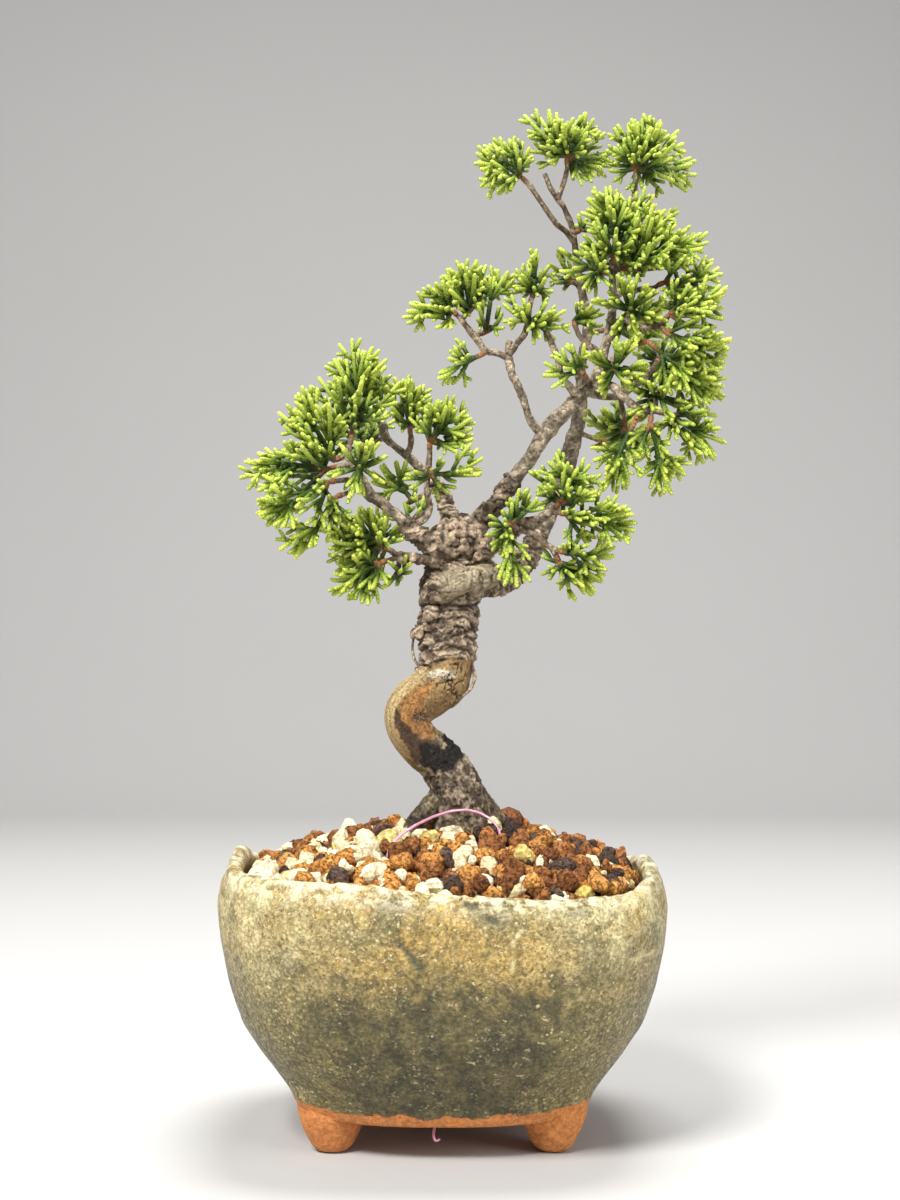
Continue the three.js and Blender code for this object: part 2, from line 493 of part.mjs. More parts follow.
// a point of the pot's outside or, with an inset, of a wall that lies further in
function potPoint(side, rise, inset) {
  const corner = THREE.MathUtils.lerp(POT.cornerBase, POT.corner, rise);
  const at = (k) => {
    const angle = (2 * Math.PI * (k % POT.sides)) / POT.sides;
    const reach = squareRound(potHalf(rise), angle, corner) - inset;
    return [reach * Math.cos(angle), reach * Math.sin(angle), potHeight(rise, angle)];
  };
  const [low, high] = [at(Math.floor(side)), at(Math.ceil(side))];
  return low.map((value, axis) => THREE.MathUtils.lerp(value, high[axis], side % 1));
}

const wallAt = (rise) => THREE.MathUtils.lerp(POT.wall, POT.rimWall, rise);

// closed shell: rows up the outside, over the rim and down the inside
function potShell() {
  const rows = [
    ...POT_OUTLINE.map(([, rise]) => [rise, 0]),
    ...[...POT_INSIDE, floorRise].map((rise) => [rise, wallAt(rise)]),
  ];
  const points = rows.flatMap(([rise, inset]) => (
    Array.from({ length: POT.sides }, (_, k) => potPoint(k, rise, inset)).flat()
  ));
  const triangles = [];
  const ends = points.length / 3;
  points.push(0, 0, POT.baseHeight, 0, 0, POT.floorTop);
  const lastRow = (rows.length - 1) * POT.sides;
  for (let k = 0; k < POT.sides; k += 1) {
    const next = (k + 1) % POT.sides;
    for (let row = 0; row < lastRow; row += POT.sides) {
      const [a, b, c, d] = [row + k, row + next, row + POT.sides + k, row + POT.sides + next];
      triangles.push(a, b, d, a, d, c);
    }
    triangles.push(ends, next, k, ends + 1, lastRow + k, lastRow + next);
  }
  return solidOf(indexed(points, triangles));
}

function foot(x, y) {
  const profile = FOOT_PROFILE.map(([radius, height]) => new THREE.Vector2(radius, height));
  const geometry = new THREE.LatheGeometry(profile, FOOT.sides);
  geometry.rotateX(Math.PI / 2);
  geometry.translate(x, y, 0);
  return solidOf(geometry);
}

function makePot() {
  const through = 2 * (POT.floorTop + OVERCUT);
  const drain = new THREE.CylinderGeometry(
    POT.drainRadius, POT.drainRadius, through, POT.drainSides,
  );
  drain.rotateX(Math.PI / 2);
  const feet = [-1, 1].flatMap((sx) => [-1, 1].map((sy) => foot(sx * FOOT.x, sy * FOOT.y)));
  return join([potShell(), ...feet]).subtract(solidOf(drain));
}

// Soil

// height of the heaped surface before its grains
function mound(x, y, share) {
  const { peak } = SOIL;
  const away = Math.hypot(x - peak.x, y - peak.y) / peak.spread;
  return SOIL.edgeHeight + SOIL.rise * (1 - share * share) + peak.height * Math.exp(-away * away);
}

// lattice ring by ring, 6 r points on ring r; every third point is a raised grain centre
function makeSoil() {
  const points = [];
  const triangles = [];
  const starts = [];
  const heading = [[1, 0], [0, 1], [-1, 1], [-1, 0], [0, -1], [1, -1]];
  for (let ring = 0; ring <= SOIL.rings; ring += 1) {
    starts.push(points.length / 3);
    for (let k = 0; k < Math.max(1, 6 * ring); k += 1) {
      const number = points.length / 3;
      const [sector, step] = ring ? [Math.floor(k / ring), k % ring] : [0, 0];
      const [[da, db], [ea, eb]] = [heading[sector], heading[(sector + 2) % 6]];
      const grain = (ring * (da - db) + step * (ea - eb)) % 3 === 0;
      const side = ring ? (POT.sides * k) / (6 * ring) : 0;
      const share = ring / SOIL.rings;
      const [edgeX, edgeY, rimZ] = potPoint(side, 1, wallAt(1) + GAP);
      const loose = ring < SOIL.rings ? SOIL.jitter : 0;
      const x = edgeX * share + loose * (2 * draw(number, 1) - 1);
      const y = edgeY * share + loose * (2 * draw(number, 2) - 1);
      const lift = grain
        ? THREE.MathUtils.lerp(...SOIL.grainHeight, draw(number, 3))
        : SOIL.dustHeight * draw(number, 4);
      const highest = ring < SOIL.rings ? Infinity : rimZ - SOIL.belowRim;
      points.push(x, y, Math.min(mound(x, y, share) + lift, highest));
    }
  }
  for (let ring = 1; ring <= SOIL.rings; ring += 1) {
    const outer = (k) => starts[ring] + (k % (6 * ring));
    const inner = (k) => starts[ring - 1] + (ring > 1 ? k % (6 * (ring - 1)) : 0);
    for (let sector = 0; sector < 6; sector += 1) {
      for (let i = 0; i < ring; i += 1) {
        const [o, n] = [sector * ring + i, sector * (ring - 1) + i];
        triangles.push(outer(o), outer(o + 1), inner(n));
        if (i < ring - 1) triangles.push(inner(n), outer(o + 1), inner(n + 1));
      }
    }
  }
  const count = 6 * SOIL.rings;
  const rows = [Array.from({ length: count }, (_, k) => starts[SOIL.rings] + k)];
  [...SOIL.wallShares, floorRise].forEach((rise) => {
    const lift = rise === floorRise ? GAP : 0;
    rows.push(Array.from({ length: count }, (_, k) => {
      const [x, y, z] = potPoint((POT.sides * k) / count, rise, wallAt(rise) + GAP);
      points.push(x, y, z + lift);
      return points.length / 3 - 1;
    }));
  });
  points.push(0, 0, POT.floorTop + GAP);
  const middle = points.length / 3 - 1;
  for (let k = 0; k < count; k += 1) {
    const next = (k + 1) % count;
    for (let row = 1; row < rows.length; row += 1) {
      const [a, b, c, d] = [rows[row - 1][k], rows[row - 1][next], rows[row][k], rows[row][next]];
      triangles.push(a, c, d, a, d, b);
    }
    triangles.push(middle, rows[rows.length - 1][next], rows[rows.length - 1][k]);
  }
  return solidOf(indexed(points, triangles));
}

// Drain mesh

function box(x0, y0, z0, x1, y1, z1) {
  const geometry = new THREE.BoxGeometry(x1 - x0, y1 - y0, z1 - z0);
  geometry.translate((x0 + x1) / 2, (y0 + y1) / 2, (z0 + z1) / 2);
  return solidOf(geometry);
}

const meshBottom = POT.floorTop + GAP;
const meshTop = meshBottom + MESH.thick;

function makeMesh() {
  const half = MESH.size / 2;
  let plate = box(-half, -half, meshBottom, half, half, meshTop);
  const first = -((MESH.holes - 1) * MESH.pitch) / 2;
  for (let i = 0; i < MESH.holes; i += 1) {
    for (let k = 0; k < MESH.holes; k += 1) {
      const [x, y] = [first + i * MESH.pitch, first + k * MESH.pitch];
      const h = MESH.hole / 2;
      plate = plate.subtract(
        box(x - h, y - h, meshBottom - OVERCUT, x + h, y + h, meshTop + OVERCUT),
      );
    }
  }
  return plate;
}

// Wood

// folds and flutes of the old bark, strongest on the upright part of the trunk
function barkRelief(angle, z) {
  const folds = FOLDS.depth * Math.sin(z * FOLDS.pace + FOLDS.sway * Math.sin(angle));
  const flutes = FLUTES.reduce((sum, [number, depth, twist]) => (
    sum + depth * Math.cos(number * angle + twist * z)
  ), 0);
  return 1 + flutes + folds * (z > FOLDS.from ? 1 : FOLDS.below);
}

const sidesFor = (radius) => LIMB_SIDES.find(([over]) => radius > over)[1];

function makeTrunkParts(grow) {
  return [
    tube(smooth(TRUNK, STEPS.trunk), SIDES.trunk, grow, barkRelief),
    ...Object.values(ROOTS).map((root) => tube(smooth(root, STEPS.root), SIDES.root, grow)),
  ];
}

function makeWood(limbs, twigs) {
  const knobs = CALLUS.map(([x, y, z, radius]) => {
    const geometry = new THREE.IcosahedronGeometry(radius, 0);
    geometry.translate(x, y, z);
    return solidOf(geometry);
  });
  return join([
    ...makeTrunkParts(0), tube(smooth(TWIST, STEPS.twist), SIDES.twist), ...knobs,
    ...limbs.map((line) => tube(line, sidesFor(line[1][3]))),
    ...twigs.map((line) => tube(line, SIDES.twig)),
  ]);
}

// Sprays

// straight wood pieces as capsules { a, b, radius } that the foliage keeps clear of
function capsulesOf(lines) {
  return lines.flatMap((line) => line.slice(1).map((station, i) => ({
    a: vec(line[i]), b: vec(station), radius: Math.max(line[i][3], station[3]),
    line, last: i === line.length - 2,
  })));
}

// least distance between two straight pieces, by clamping the closest points
function separation(p, q) {
  const d1 = p.b.clone().sub(p.a);
  const d2 = q.b.clone().sub(q.a);
  const r = p.a.clone().sub(q.a);
  const [a, e, f] = [d1.dot(d1), d2.dot(d2), d2.dot(r)];
  const [b, c] = [d1.dot(d2), d1.dot(r)];
  const clamp = (value) => THREE.MathUtils.clamp(value, 0, 1);
  const denom = a * e - b * b;
  let s = denom > PARALLEL ? clamp((b * f - c * e) / denom) : 0;
  const t = clamp((b * s + f) / e);
  s = clamp((b * t - c) / a);
  return p.a.clone().addScaledVector(d1, s).distanceTo(q.a.clone().addScaledVector(d2, t));
}

// the nearest point of the wood to a hub
function nearestWood(hub, wood) {
  const found = wood.map((piece) => {
    const along = piece.b.clone().sub(piece.a);
    const share = hub.clone().sub(piece.a).dot(along) / along.lengthSq();
    const point = piece.a.clone().addScaledVector(along, THREE.MathUtils.clamp(share, 0, 1));
    return { point, piece, atEnd: piece.last && share >= 1, distance: point.distanceTo(hub) };
  });
  return found.reduce((best, one) => (one.distance < best.distance ? one : best));
}

// each hub is carried by the end of a limb that grows on to it, or by a twig of its own
function carryHubs(limbs, hubs) {
  const wood = capsulesOf([TRUNK, TWIST, ...limbs]);
  const grown = new Set();
  const twigs = [];
  const headings = hubs.map((hub) => {
    const { point, piece, atEnd } = nearestWood(hub, wood);
    const heading = hub.clone().sub(point).normalize();
    if (atEnd && limbs.includes(piece.line) && !grown.has(piece.line)) {
      grown.add(piece.line);
      piece.line.push([hub.x, hub.y, hub.z, TWIG.tip]);
    } else {
      twigs.push([[point.x, point.y, point.z, TWIG.root], [hub.x, hub.y, hub.z, TWIG.tip]]);
    }
    return heading;
  });
  return { headings, twigs };
}

// stem and main branchlets of one spray: each leaves the stem at the branching angle
function layOut(hub, heading, tips) {
  const start = hub.clone().addScaledVector(heading, GAP);
  const bend = start.clone().addScaledVector(heading, SHOOT.collar);
  const middle = tips.reduce((sum, tip) => sum.add(tip), new THREE.Vector3())
    .divideScalar(tips.length);
  const end = bend.clone().lerp(middle, SHOOT.stemShare);
  const stem = end.clone().sub(bend);
  const length = stem.length();
  stem.normalize();
  const leave = (tip) => {
    const toTip = tip.clone().sub(bend);
    const along = toTip.dot(stem);
    const across = toTip.clone().addScaledVector(stem, -along).length();
    const start = along - across / Math.tan(THREE.MathUtils.degToRad(SHOOT.angle));
    return bend.clone().addScaledVector(stem, THREE.MathUtils.clamp(start, 0, length));
  };
  const main = tips.map((tip) => ({ a: leave(tip), b: tip }));
  const copies = tips.map((tip, i) => {
    const roll = THREE.MathUtils.degToRad(SHOOT.rolls[i % SHOOT.rolls.length]);
    const turned = tip.clone().sub(bend).applyAxisAngle(stem, roll).add(bend);
    const from = leave(turned);
    return { a: from, b: from.clone().lerp(turned, SHOOT.copyLength) };
  });
  return { stem: { start, bend, end, heading, direction: stem, length }, main, copies };
}

// A three-sided body that grows: a branchlet replaces one triangle of its parent's side
class Growth {
  constructor({ start, bend, end, heading, length }) {
    this.points = [];
    const first = this.ring(start, heading, SHOOT.tip, squareTo(heading));
    const steps = Math.max(2, Math.round(length / SHOOT.spacing));
    const stations = Array.from({ length: steps + 1 }, (_, i) => (
      [bend.clone().lerp(end, i / steps), SHOOT.base]
    ));
    this.faces = [
      { ids: [first[0], first[2], first[1]], closed: true }, ...this.walls(first, stations),
    ];
  }

  ring(centre, heading, radius, side) {
    const across = new THREE.Vector3().crossVectors(heading, side);
    return [0, 1, 2].map((k) => {
      const angle = (2 * Math.PI * k) / 3;
      this.points.push(centre.clone().addScaledVector(side, radius * Math.cos(angle))
        .addScaledVector(across, radius * Math.sin(angle)));
      return this.points.length - 1;
    });
  }

  middleOf(ids) {
    return ids.reduce((sum, id) => sum.add(this.points[id]), new THREE.Vector3())
      .divideScalar(3);
  }

  // the turn of a regular ring about a heading that follows three given corners best
  sideFor(ids, heading) {
    const middle = this.middleOf(ids);
    const side = this.points[ids[0]].clone().sub(middle).projectOnPlane(heading).normalize();
    const across = new THREE.Vector3().crossVectors(heading, side);
    const sum = new THREE.Vector2();
    ids.forEach((id, k) => {
      const flat = this.points[id].clone().sub(middle).projectOnPlane(heading);
      const angle = Math.atan2(flat.dot(across), flat.dot(side)) - (2 * Math.PI * k) / 3;
      sum.add(new THREE.Vector2(Math.cos(angle), Math.sin(angle)));
    });
    return side.applyAxisAngle(heading, sum.angle());
  }

  // faces from three corners through the stations [centre, radius], with the closing cap;
  // only short stretches stay open to branchlets
  walls(base, stations) {
    const faces = [];
    let from = base;
    let last = this.middleOf(base);
    stations.forEach(([centre, radius], i) => {
      const ahead = i + 1 < stations.length ? stations[i + 1][0] : centre;
      const heading = ahead.clone().sub(last).normalize();
      const next = this.ring(centre, heading, radius, this.sideFor(from, heading));
      const closed = centre.distanceTo(last) > SHOOT.longest;
      for (let k = 0; k < 3; k += 1) {
        const n = (k + 1) % 3;
        faces.push({ ids: [from[k], from[n], next[n]], closed });
        faces.push({ ids: [from[k], next[n], next[k]], closed });
      }
      from = next;
      last = centre;
    });
    return [...faces, { ids: from, closed: true }];
  }

  // the open faces that a branchlet from a to b could leave, the best first
  rootsFor(a, b) {
    const heading = b.clone().sub(a).normalize();
    const found = this.faces.filter(({ closed }) => !closed).map((face) => {
      const [p, q, r] = face.ids.map((id) => this.points[id]);
      const facing = q.clone().sub(p).cross(r.clone().sub(p)).normalize().dot(heading);
      return { face, facing, away: this.middleOf(face.ids).distanceTo(a) - facing };
    });
    return found.filter(({ facing, away }) => facing > ROOT.facing && away < ROOT.away)
      .sort((one, other) => one.away - other.away).slice(0, ROOT.tries)
      .map(({ face }) => face);
  }

  // whether a side of one triangle passes through the other, away from shared corners
  cross(one, other) {
    const passes = (ids, others) => ids.some((id, k) => {
      const next = ids[(k + 1) % 3];
      if (others.includes(id) || others.includes(next)) return false;
      const [from, to] = [this.points[id], this.points[next]];
      const ray = new THREE.Ray(from, to.clone().sub(from).normalize());
      const corners = others.map((corner) => this.points[corner]);
      const hit = ray.intersectTriangle(...corners, false, new THREE.Vector3());
      return hit !== null && hit.distanceTo(from) < to.distanceTo(from);
    });
    return passes(one, other) || passes(other, one);
  }

  // grows a branchlet out of a face through the stations, unless it would cross the body
  branch(root, stations) {
    const before = this.points.length;
    const kept = this.faces.filter((face) => face !== root);
    const grown = this.walls(root.ids, stations);
    const clash = grown.some(({ ids }) => kept.some((face) => this.cross(ids, face.ids)));
    if (clash) {
      this.points.length = before;
      return false;
    }
    this.faces = [...kept, ...grown];
    return true;
  }

  solid() {
    const points = this.points.flatMap(({ x, y, z }) => [x, y, z]);
    return solidOf(indexed(points, this.faces.flatMap(({ ids }) => ids)));
  }
}

// a side shoot out of a branchlet's middle stretch; turn -1 or 1 picks the side
function forkOf({ from, tip }, stem, turn) {
  const shoot = tip.clone().sub(from);
  const length = shoot.length();
  const heading = shoot.clone().normalize();
  const hinge = new THREE.Vector3().crossVectors(stem.direction, heading);
  if (hinge.length() < NEARLY_ALONG) hinge.copy(squareTo(heading));
  const out = heading.clone()
    .applyAxisAngle(hinge.normalize(), turn * THREE.MathUtils.degToRad(SHOOT.angle));
  const start = from.clone().addScaledVector(heading, SHOOT.forkAt * length);
  return { start, end: start.clone().addScaledVector(out, SHOOT.forkShare * length) };
}

function makeSprays(rows, headings, wood) {
  const placed = wood.map((piece) => ({ ...piece, owner: 'wood' }));
  const room = (piece, other) => (piece.owner === other.owner
    ? SHOOT.crowding * (piece.radius + other.radius)
    : piece.radius + other.radius + SHOOT.clear);
  const free = (piece) => placed.every((other) => separation(piece, other) > room(piece, other));

  // grows a branchlet from its best root and at the greatest length that has room
  const grow = ({ name, growth }, a, b, forks) => {
    for (const root of growth.rootsFor(a, b)) {
      const from = growth.middleOf(root.ids);
      const heading = b.clone().sub(from).normalize();
      for (const share of SHOOT.lengths) {
        const tip = from.clone().lerp(b, share);
        const length = tip.distanceTo(from);
        const piece = {
          a: from.clone().addScaledVector(heading, SHOOT.rooted), b: tip,
          radius: SHOOT.base, owner: name,
        };
        const stations = forks && length > SHOOT.forkFrom
          ? [-SHOOT.spacing / 2, SHOOT.spacing / 2].map((step) => [
            from.clone().addScaledVector(heading, SHOOT.forkAt * length + step), SHOOT.base,
          ]) : [];
        const grown = length > SHOOT.shortest && free(piece)
          && growth.branch(root, [...stations, [tip, SHOOT.tip]]);
        if (grown) {
          placed.push(piece);
          return { from, tip, forked: stations.length > 0 };
        }
      }
    }
    return undefined;
  };

  const sprays = rows.map(([name, [hubPoint, tipPoints]], i) => {
    const plan = layOut(vec(hubPoint), headings[i], tipPoints.map(vec));
    const { start, bend, end } = plan.stem;
    placed.push({ a: start, b: bend, radius: SHOOT.base, owner: name });
    placed.push({ a: bend, b: end, radius: SHOOT.base, owner: name });
    return { name, plan, growth: new Growth(plan.stem) };
  });
  ['main', 'copies'].forEach((kind) => sprays.forEach((spray) => {
    spray.plan[kind].forEach(({ a, b }) => {
      const shoot = grow(spray, a, b, kind === 'main');
      if (!shoot || !shoot.forked) return;
      [-1, 1].forEach((turn) => {
        const fork = forkOf(shoot, spray.plan.stem, turn);
        grow(spray, fork.start, fork.end, false);
      });
    });
  }));
  return sprays.map(({ name, growth }) => ({ name, solid: growth.solid() }));
}

// Assembly

const bonsai = new THREE.Group();
bonsai.name = 'itoigawa_juniper_bonsai';

function place(name, solid, finish) {
  const mesh = new THREE.Mesh(
    geometryOf(solid), new THREE.MeshStandardMaterial({ ...finish, flatShading: true }),
  );
  mesh.name = name;
  bonsai.add(mesh);
}

const limbs = Object.values(LIMBS).map((line) => [...line]);
const rows = Object.entries(SPRAYS);
const { headings, twigs } = carryHubs(limbs, rows.map(([, [hub]]) => vec(hub)));
const sprays = makeSprays(rows, headings, capsulesOf([TRUNK, TWIST, ...limbs, ...twigs]));
const wirePath = WIRE.map(([x, y, z]) => [x, y, z, WIRE_RADIUS]);
const pocket = MESH.size / 2 + GAP;
const hollows = join([
  ...makeTrunkParts(BARK_CUT), tube(wirePath, SIDES.wireHole, WIRE_CUT),
  box(-pocket, -pocket, POT.floorTop - OVERCUT, pocket, pocket, meshTop + GAP),
]);

place('pot', makePot(), FINISH.glaze);
place('soil', makeSoil().subtract(hollows), FINISH.soil);
place('drain_mesh', makeMesh(), FINISH.plastic);
place('tie_wire', tube(wirePath, SIDES.wire), FINISH.wire);
place('trunk', makeWood(limbs, twigs), FINISH.bark);
sprays.forEach(({ name, solid }) => place(`spray_${name}`, solid, FINISH.leaf));

const extent = new THREE.Box3().setFromObject(bonsai);
const middle = extent.getCenter(new THREE.Vector3());
bonsai.position.set(-middle.x, -middle.y, -extent.min.z);
bonsai.updateMatrixWorld(true);

export default bonsai;
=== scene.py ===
"""A small juniper bonsai in a glazed clay pot, dressed on its CAD frame.

Design sizes are in millimetres round the pot's centre line; placed() moves them to the frame.
"""
import math

import bpy
import numpy as np
from bpy.props import FloatProperty, FloatVectorProperty, IntProperty, PointerProperty
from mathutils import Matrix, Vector


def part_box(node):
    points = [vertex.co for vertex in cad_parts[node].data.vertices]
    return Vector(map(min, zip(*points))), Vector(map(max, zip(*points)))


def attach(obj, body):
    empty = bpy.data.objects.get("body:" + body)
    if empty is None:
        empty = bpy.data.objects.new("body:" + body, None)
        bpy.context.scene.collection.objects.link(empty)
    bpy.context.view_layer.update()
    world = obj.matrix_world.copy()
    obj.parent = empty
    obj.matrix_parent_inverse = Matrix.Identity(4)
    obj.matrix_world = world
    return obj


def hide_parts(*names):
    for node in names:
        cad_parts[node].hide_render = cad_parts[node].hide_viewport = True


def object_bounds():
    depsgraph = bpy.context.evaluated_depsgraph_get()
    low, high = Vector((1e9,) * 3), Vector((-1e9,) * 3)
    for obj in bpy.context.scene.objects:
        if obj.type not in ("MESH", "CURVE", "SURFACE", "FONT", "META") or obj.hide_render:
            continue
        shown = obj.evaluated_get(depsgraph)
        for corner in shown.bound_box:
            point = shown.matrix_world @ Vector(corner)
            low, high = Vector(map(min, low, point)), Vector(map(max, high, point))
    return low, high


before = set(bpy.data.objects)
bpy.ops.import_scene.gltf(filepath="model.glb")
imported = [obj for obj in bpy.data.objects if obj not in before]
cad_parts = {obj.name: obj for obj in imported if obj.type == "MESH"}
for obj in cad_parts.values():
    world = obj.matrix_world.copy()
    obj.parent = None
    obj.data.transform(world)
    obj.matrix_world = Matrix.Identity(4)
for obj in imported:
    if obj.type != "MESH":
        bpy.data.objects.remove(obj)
cad_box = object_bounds()

bl_info = {
    "name": "Juniper bonsai",
    "version": (1, 0, 0),
    "blender": (4, 5, 0),
    "location": "3D View > Sidebar > Bonsai",
    "description": "Pot, soil, wood and foliage of a small juniper bonsai on its CAD frame",
    "category": "Add Mesh",
}

# The pot and the whole CAD box, in the frame's metres and round the pot's centre line

MM = 0.001
POT_LOW, POT_HIGH = (np.array(corner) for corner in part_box("pot"))
POT_MIDDLE = np.array([*(POT_LOW + POT_HIGH)[:2] / 2, 0.0])
BOX_LOW, BOX_HIGH = ((np.array(corner) - POT_MIDDLE) / MM for corner in cad_box)

# Pot: its outside as shares of half width and height, the rim's height by degrees round it; wall
# thickness and squareness of the plan at the bottom and top; and how finely it is drawn

POT_HALF = 48.3
POT_BASE = 7.5
POT_TOP = 58
POT_FLOOR = 12
POT_WALL = (5, 3.6)
POT_CORNER = (2.6, 3.4)
DRAIN_RADIUS = 6
LIP = 0.962
POT_SIDES, WALL_RINGS, LIP_RINGS, INSIDE_RINGS, FLOOR_RINGS = 400, 110, 14, 24, 8
POT_OUTLINE = (
    (0.645, 0), (0.667, 0.025), (0.723, 0.11), (0.82, 0.24), (0.901, 0.365), (0.954, 0.525),
    (0.989, 0.7), (1, 0.85), (0.985, 0.937), (0.948, 1),
)
RIM = (
    (0, 59.5), (22, 57.5), (50, 56.5), (90, 56), (130, 56.5), (160, 58.5), (180, 62),
    (198, 60), (225, 58.5), (250, 58.2), (262, 57), (275, 55.8), (300, 55), (312, 55.4),
    (335, 58), (360, 59.5),
)
FOOT_SPOTS = ((-23, -19.5), (23, -19.5), (-23, 19.5), (23, 19.5))
FOOT_PROFILE = (
    (2.4, 0), (3.5, 0.35), (4.5, 1.3), (5.4, 2.8), (6.3, 4.8), (7.3, 7.4), (7.6, 9.6), (7.2, 11.7),
)
FOOT_SIDES, FOOT_RINGS = 56, 26
FOOT_SWELL = (2.2, 0.15, 10.5, 16)

# Soil: a heap that rises from the rim to the trunk, with a small peak beside it; the bed under
# the grains; and how far out grains are tried and how clear of the trunk

SOIL_EDGE = 55.6
SOIL_RISE = 9.4
SOIL_PEAK = (12, 5, 3.2, 5.5)
BELOW_RIM = 0.6
BED_DROP, BED_TONE = 2.6, (0.10, 0.045, 0.02)
BED_SIDES, BED_RINGS, BED_WALL_RINGS = 120, 40, 12
GRAIN_REACH = 47
TRUNK_SPOT, TRUNK_CLEAR = (4, -2.5), 6

# Marks in the glaze, as lines in x and z on the front, and their half widths: dark gouges and
# light scratches

GOUGE_WIDTH, SCRATCH_WIDTH = 0.95, 0.42
GOUGES = (
    ((-8.6, 47.2), (-7.4, 45.7), (-5.9, 44.1), (-4.1, 42)),
    ((4.6, 54.2), (5.6, 53.6), (6.4, 53.9)), ((9.2, 51.4), (10.3, 50.9)),
)
SCRATCHES = (
    ((15.6, 49.5), (14.1, 47.6), (13.4, 45.7), (13.5, 43.2), (13.9, 41)),
    ((37.6, 42.4), (38.9, 42.1), (40.1, 42.9), (41.3, 42.6), (42.8, 43.1)),
)

# Grains: rings, sides and planes of each; layers as (lift, spacing); the middles of two heaps of
# pale ones, how much they count and how wide they are; kinds as share, darkest and lightest
# colour, sharpness, how lumpy and how large; and how lumpy a kind is that is shaded smooth

GRAIN_SEED = 11
GRAIN_RINGS, GRAIN_SIDES, GRAIN_PLANES = 5, 8, 6
GRAIN_LAYERS = ((-2.1, 0.72), (-0.8, 0.8), (0.5, 0.96))
PALE_HEAPS, PALE_PULL, PALE_SPREAD = ((8, -15), (-14, -21)), 0.32, 60
GRAIN_KINDS = (
    (0.34, (0.18, 0.066, 0.022), (0.40, 0.17, 0.055), 5, 0.3, 1),
    (0.27, (0.42, 0.175, 0.04), (0.66, 0.33, 0.09), 5, 0.3, 1),
    (0.09, (0.05, 0.032, 0.026), (0.13, 0.085, 0.065), 6, 0.24, 0.95),
    (0.04, (0.66, 0.50, 0.14), (0.82, 0.68, 0.28), 14, 0.12, 0.8),
    (0.24, (0.78, 0.66, 0.38), (0.96, 0.90, 0.66), 20, 0.1, 0.86),
)
SMOOTH_LUMPS = 0.15

# Wood: centre lines (x, y, z, radius), each from its parent outwards

TRUNK = (
    (4, -2, 42, 3), (4, -2, 50, 5.2), (4, -2, 58, 6.4), (4, -2.5, 64, 6.6), (4, -3, 68, 6.2),
    (3.5, -4, 72, 5.7), (2.2, -4.5, 76, 5.3), (-0.5, -5, 80, 4.9), (-4, -5.5, 83, 4.9),
    (-7.2, -6, 87, 4.9), (-7.6, -5.5, 90.6, 5.3), (-5.9, -4, 93.2, 5.4), (-3, -2.5, 95.2, 5.5),
    (-0.1, -1.5, 97.6, 5.5), (0.9, -1, 100.6, 5.6), (1, -1, 104, 5.9), (1, -0.5, 107, 5.8),
    (1, 0, 110, 6.3), (1.5, 0, 113.5, 6.1), (1.5, 0, 117, 6.5), (2.5, 0.5, 120.5, 6.4),
    (3.5, 1, 123.5, 6), (4, 1, 127, 5.4), (4.6, 1, 130, 4.2),
)

TWIST = (
    (-3, -2, 115.5, 1.6), (-2, -5, 117, 2.4), (0.5, -7.4, 118.5, 2.8), (4, -8.2, 119.6, 2.9),
    (7.5, -7.2, 120.2, 2.8), (9.8, -4.4, 121, 2.5), (9.4, -0.5, 122.6, 2),
)

CALLUS = (
    (0.5, -2.5, 130, 2.2), (3.5, -4, 127.5, 2.4), (6.8, -3.4, 129.2, 2.3),
    (8.2, -1.6, 126, 2.3), (1.6, 2.6, 131, 2.2), (5, 1.6, 132.4, 2.4), (-1, -1, 126.4, 2.4),
    (-5.4, -2.4, 108.4, 1.3),
)

WIRE_STEP, WIRE_SOFTEN, WIRE_SIDES = 0.35, 1.2, 12
WIRE = (
    (-0.6, -24.6, 3.6), (-1.4, -25.1, 3), (-2, -25, 4.2), (-1.6, -23.6, 6.3), (-1.6, -4, 6.4),
    (-1.6, -1.6, 8), (-1.6, -1.6, 16), (-11.6, -24.6, 61), (-11, -24, 63.4), (-9, -22.4, 65.6),
    (-5.5, -19, 67.6), (-2, -15.4, 69), (1.5, -12.4, 69.9), (5, -10.9, 70.1), (8, -11, 69.4),
    (10.5, -11.8, 68), (12, -12.6, 66), (12.4, -13, 62.5), (1.6, -1.6, 16), (1.6, -1.6, 8),
    (1.6, 0.8, 6.4), (1.6, 9, 6.2),
)

ROOTS = {
    "root_left": (
        (0.5, -4, 73, 3), (-3.5, -6, 69.5, 2.2), (-6.5, -8, 66.5, 1.6), (-9, -10, 61, 1.1)),
    "root_right": (
        (6, -1, 73, 3), (10, 0, 69, 2.2), (13, 1, 65, 1.6), (15, 2, 60, 1)),
    "root_back": (
        (4, 1, 73, 3), (3, 6, 68.5, 2.2), (1, 10, 64.5, 1.6), (0, 13, 60, 1)),
    "root_front": (
        (5, -6, 70, 2.4), (7, -9, 66, 1.8), (9, -12, 61, 1.1)),
}

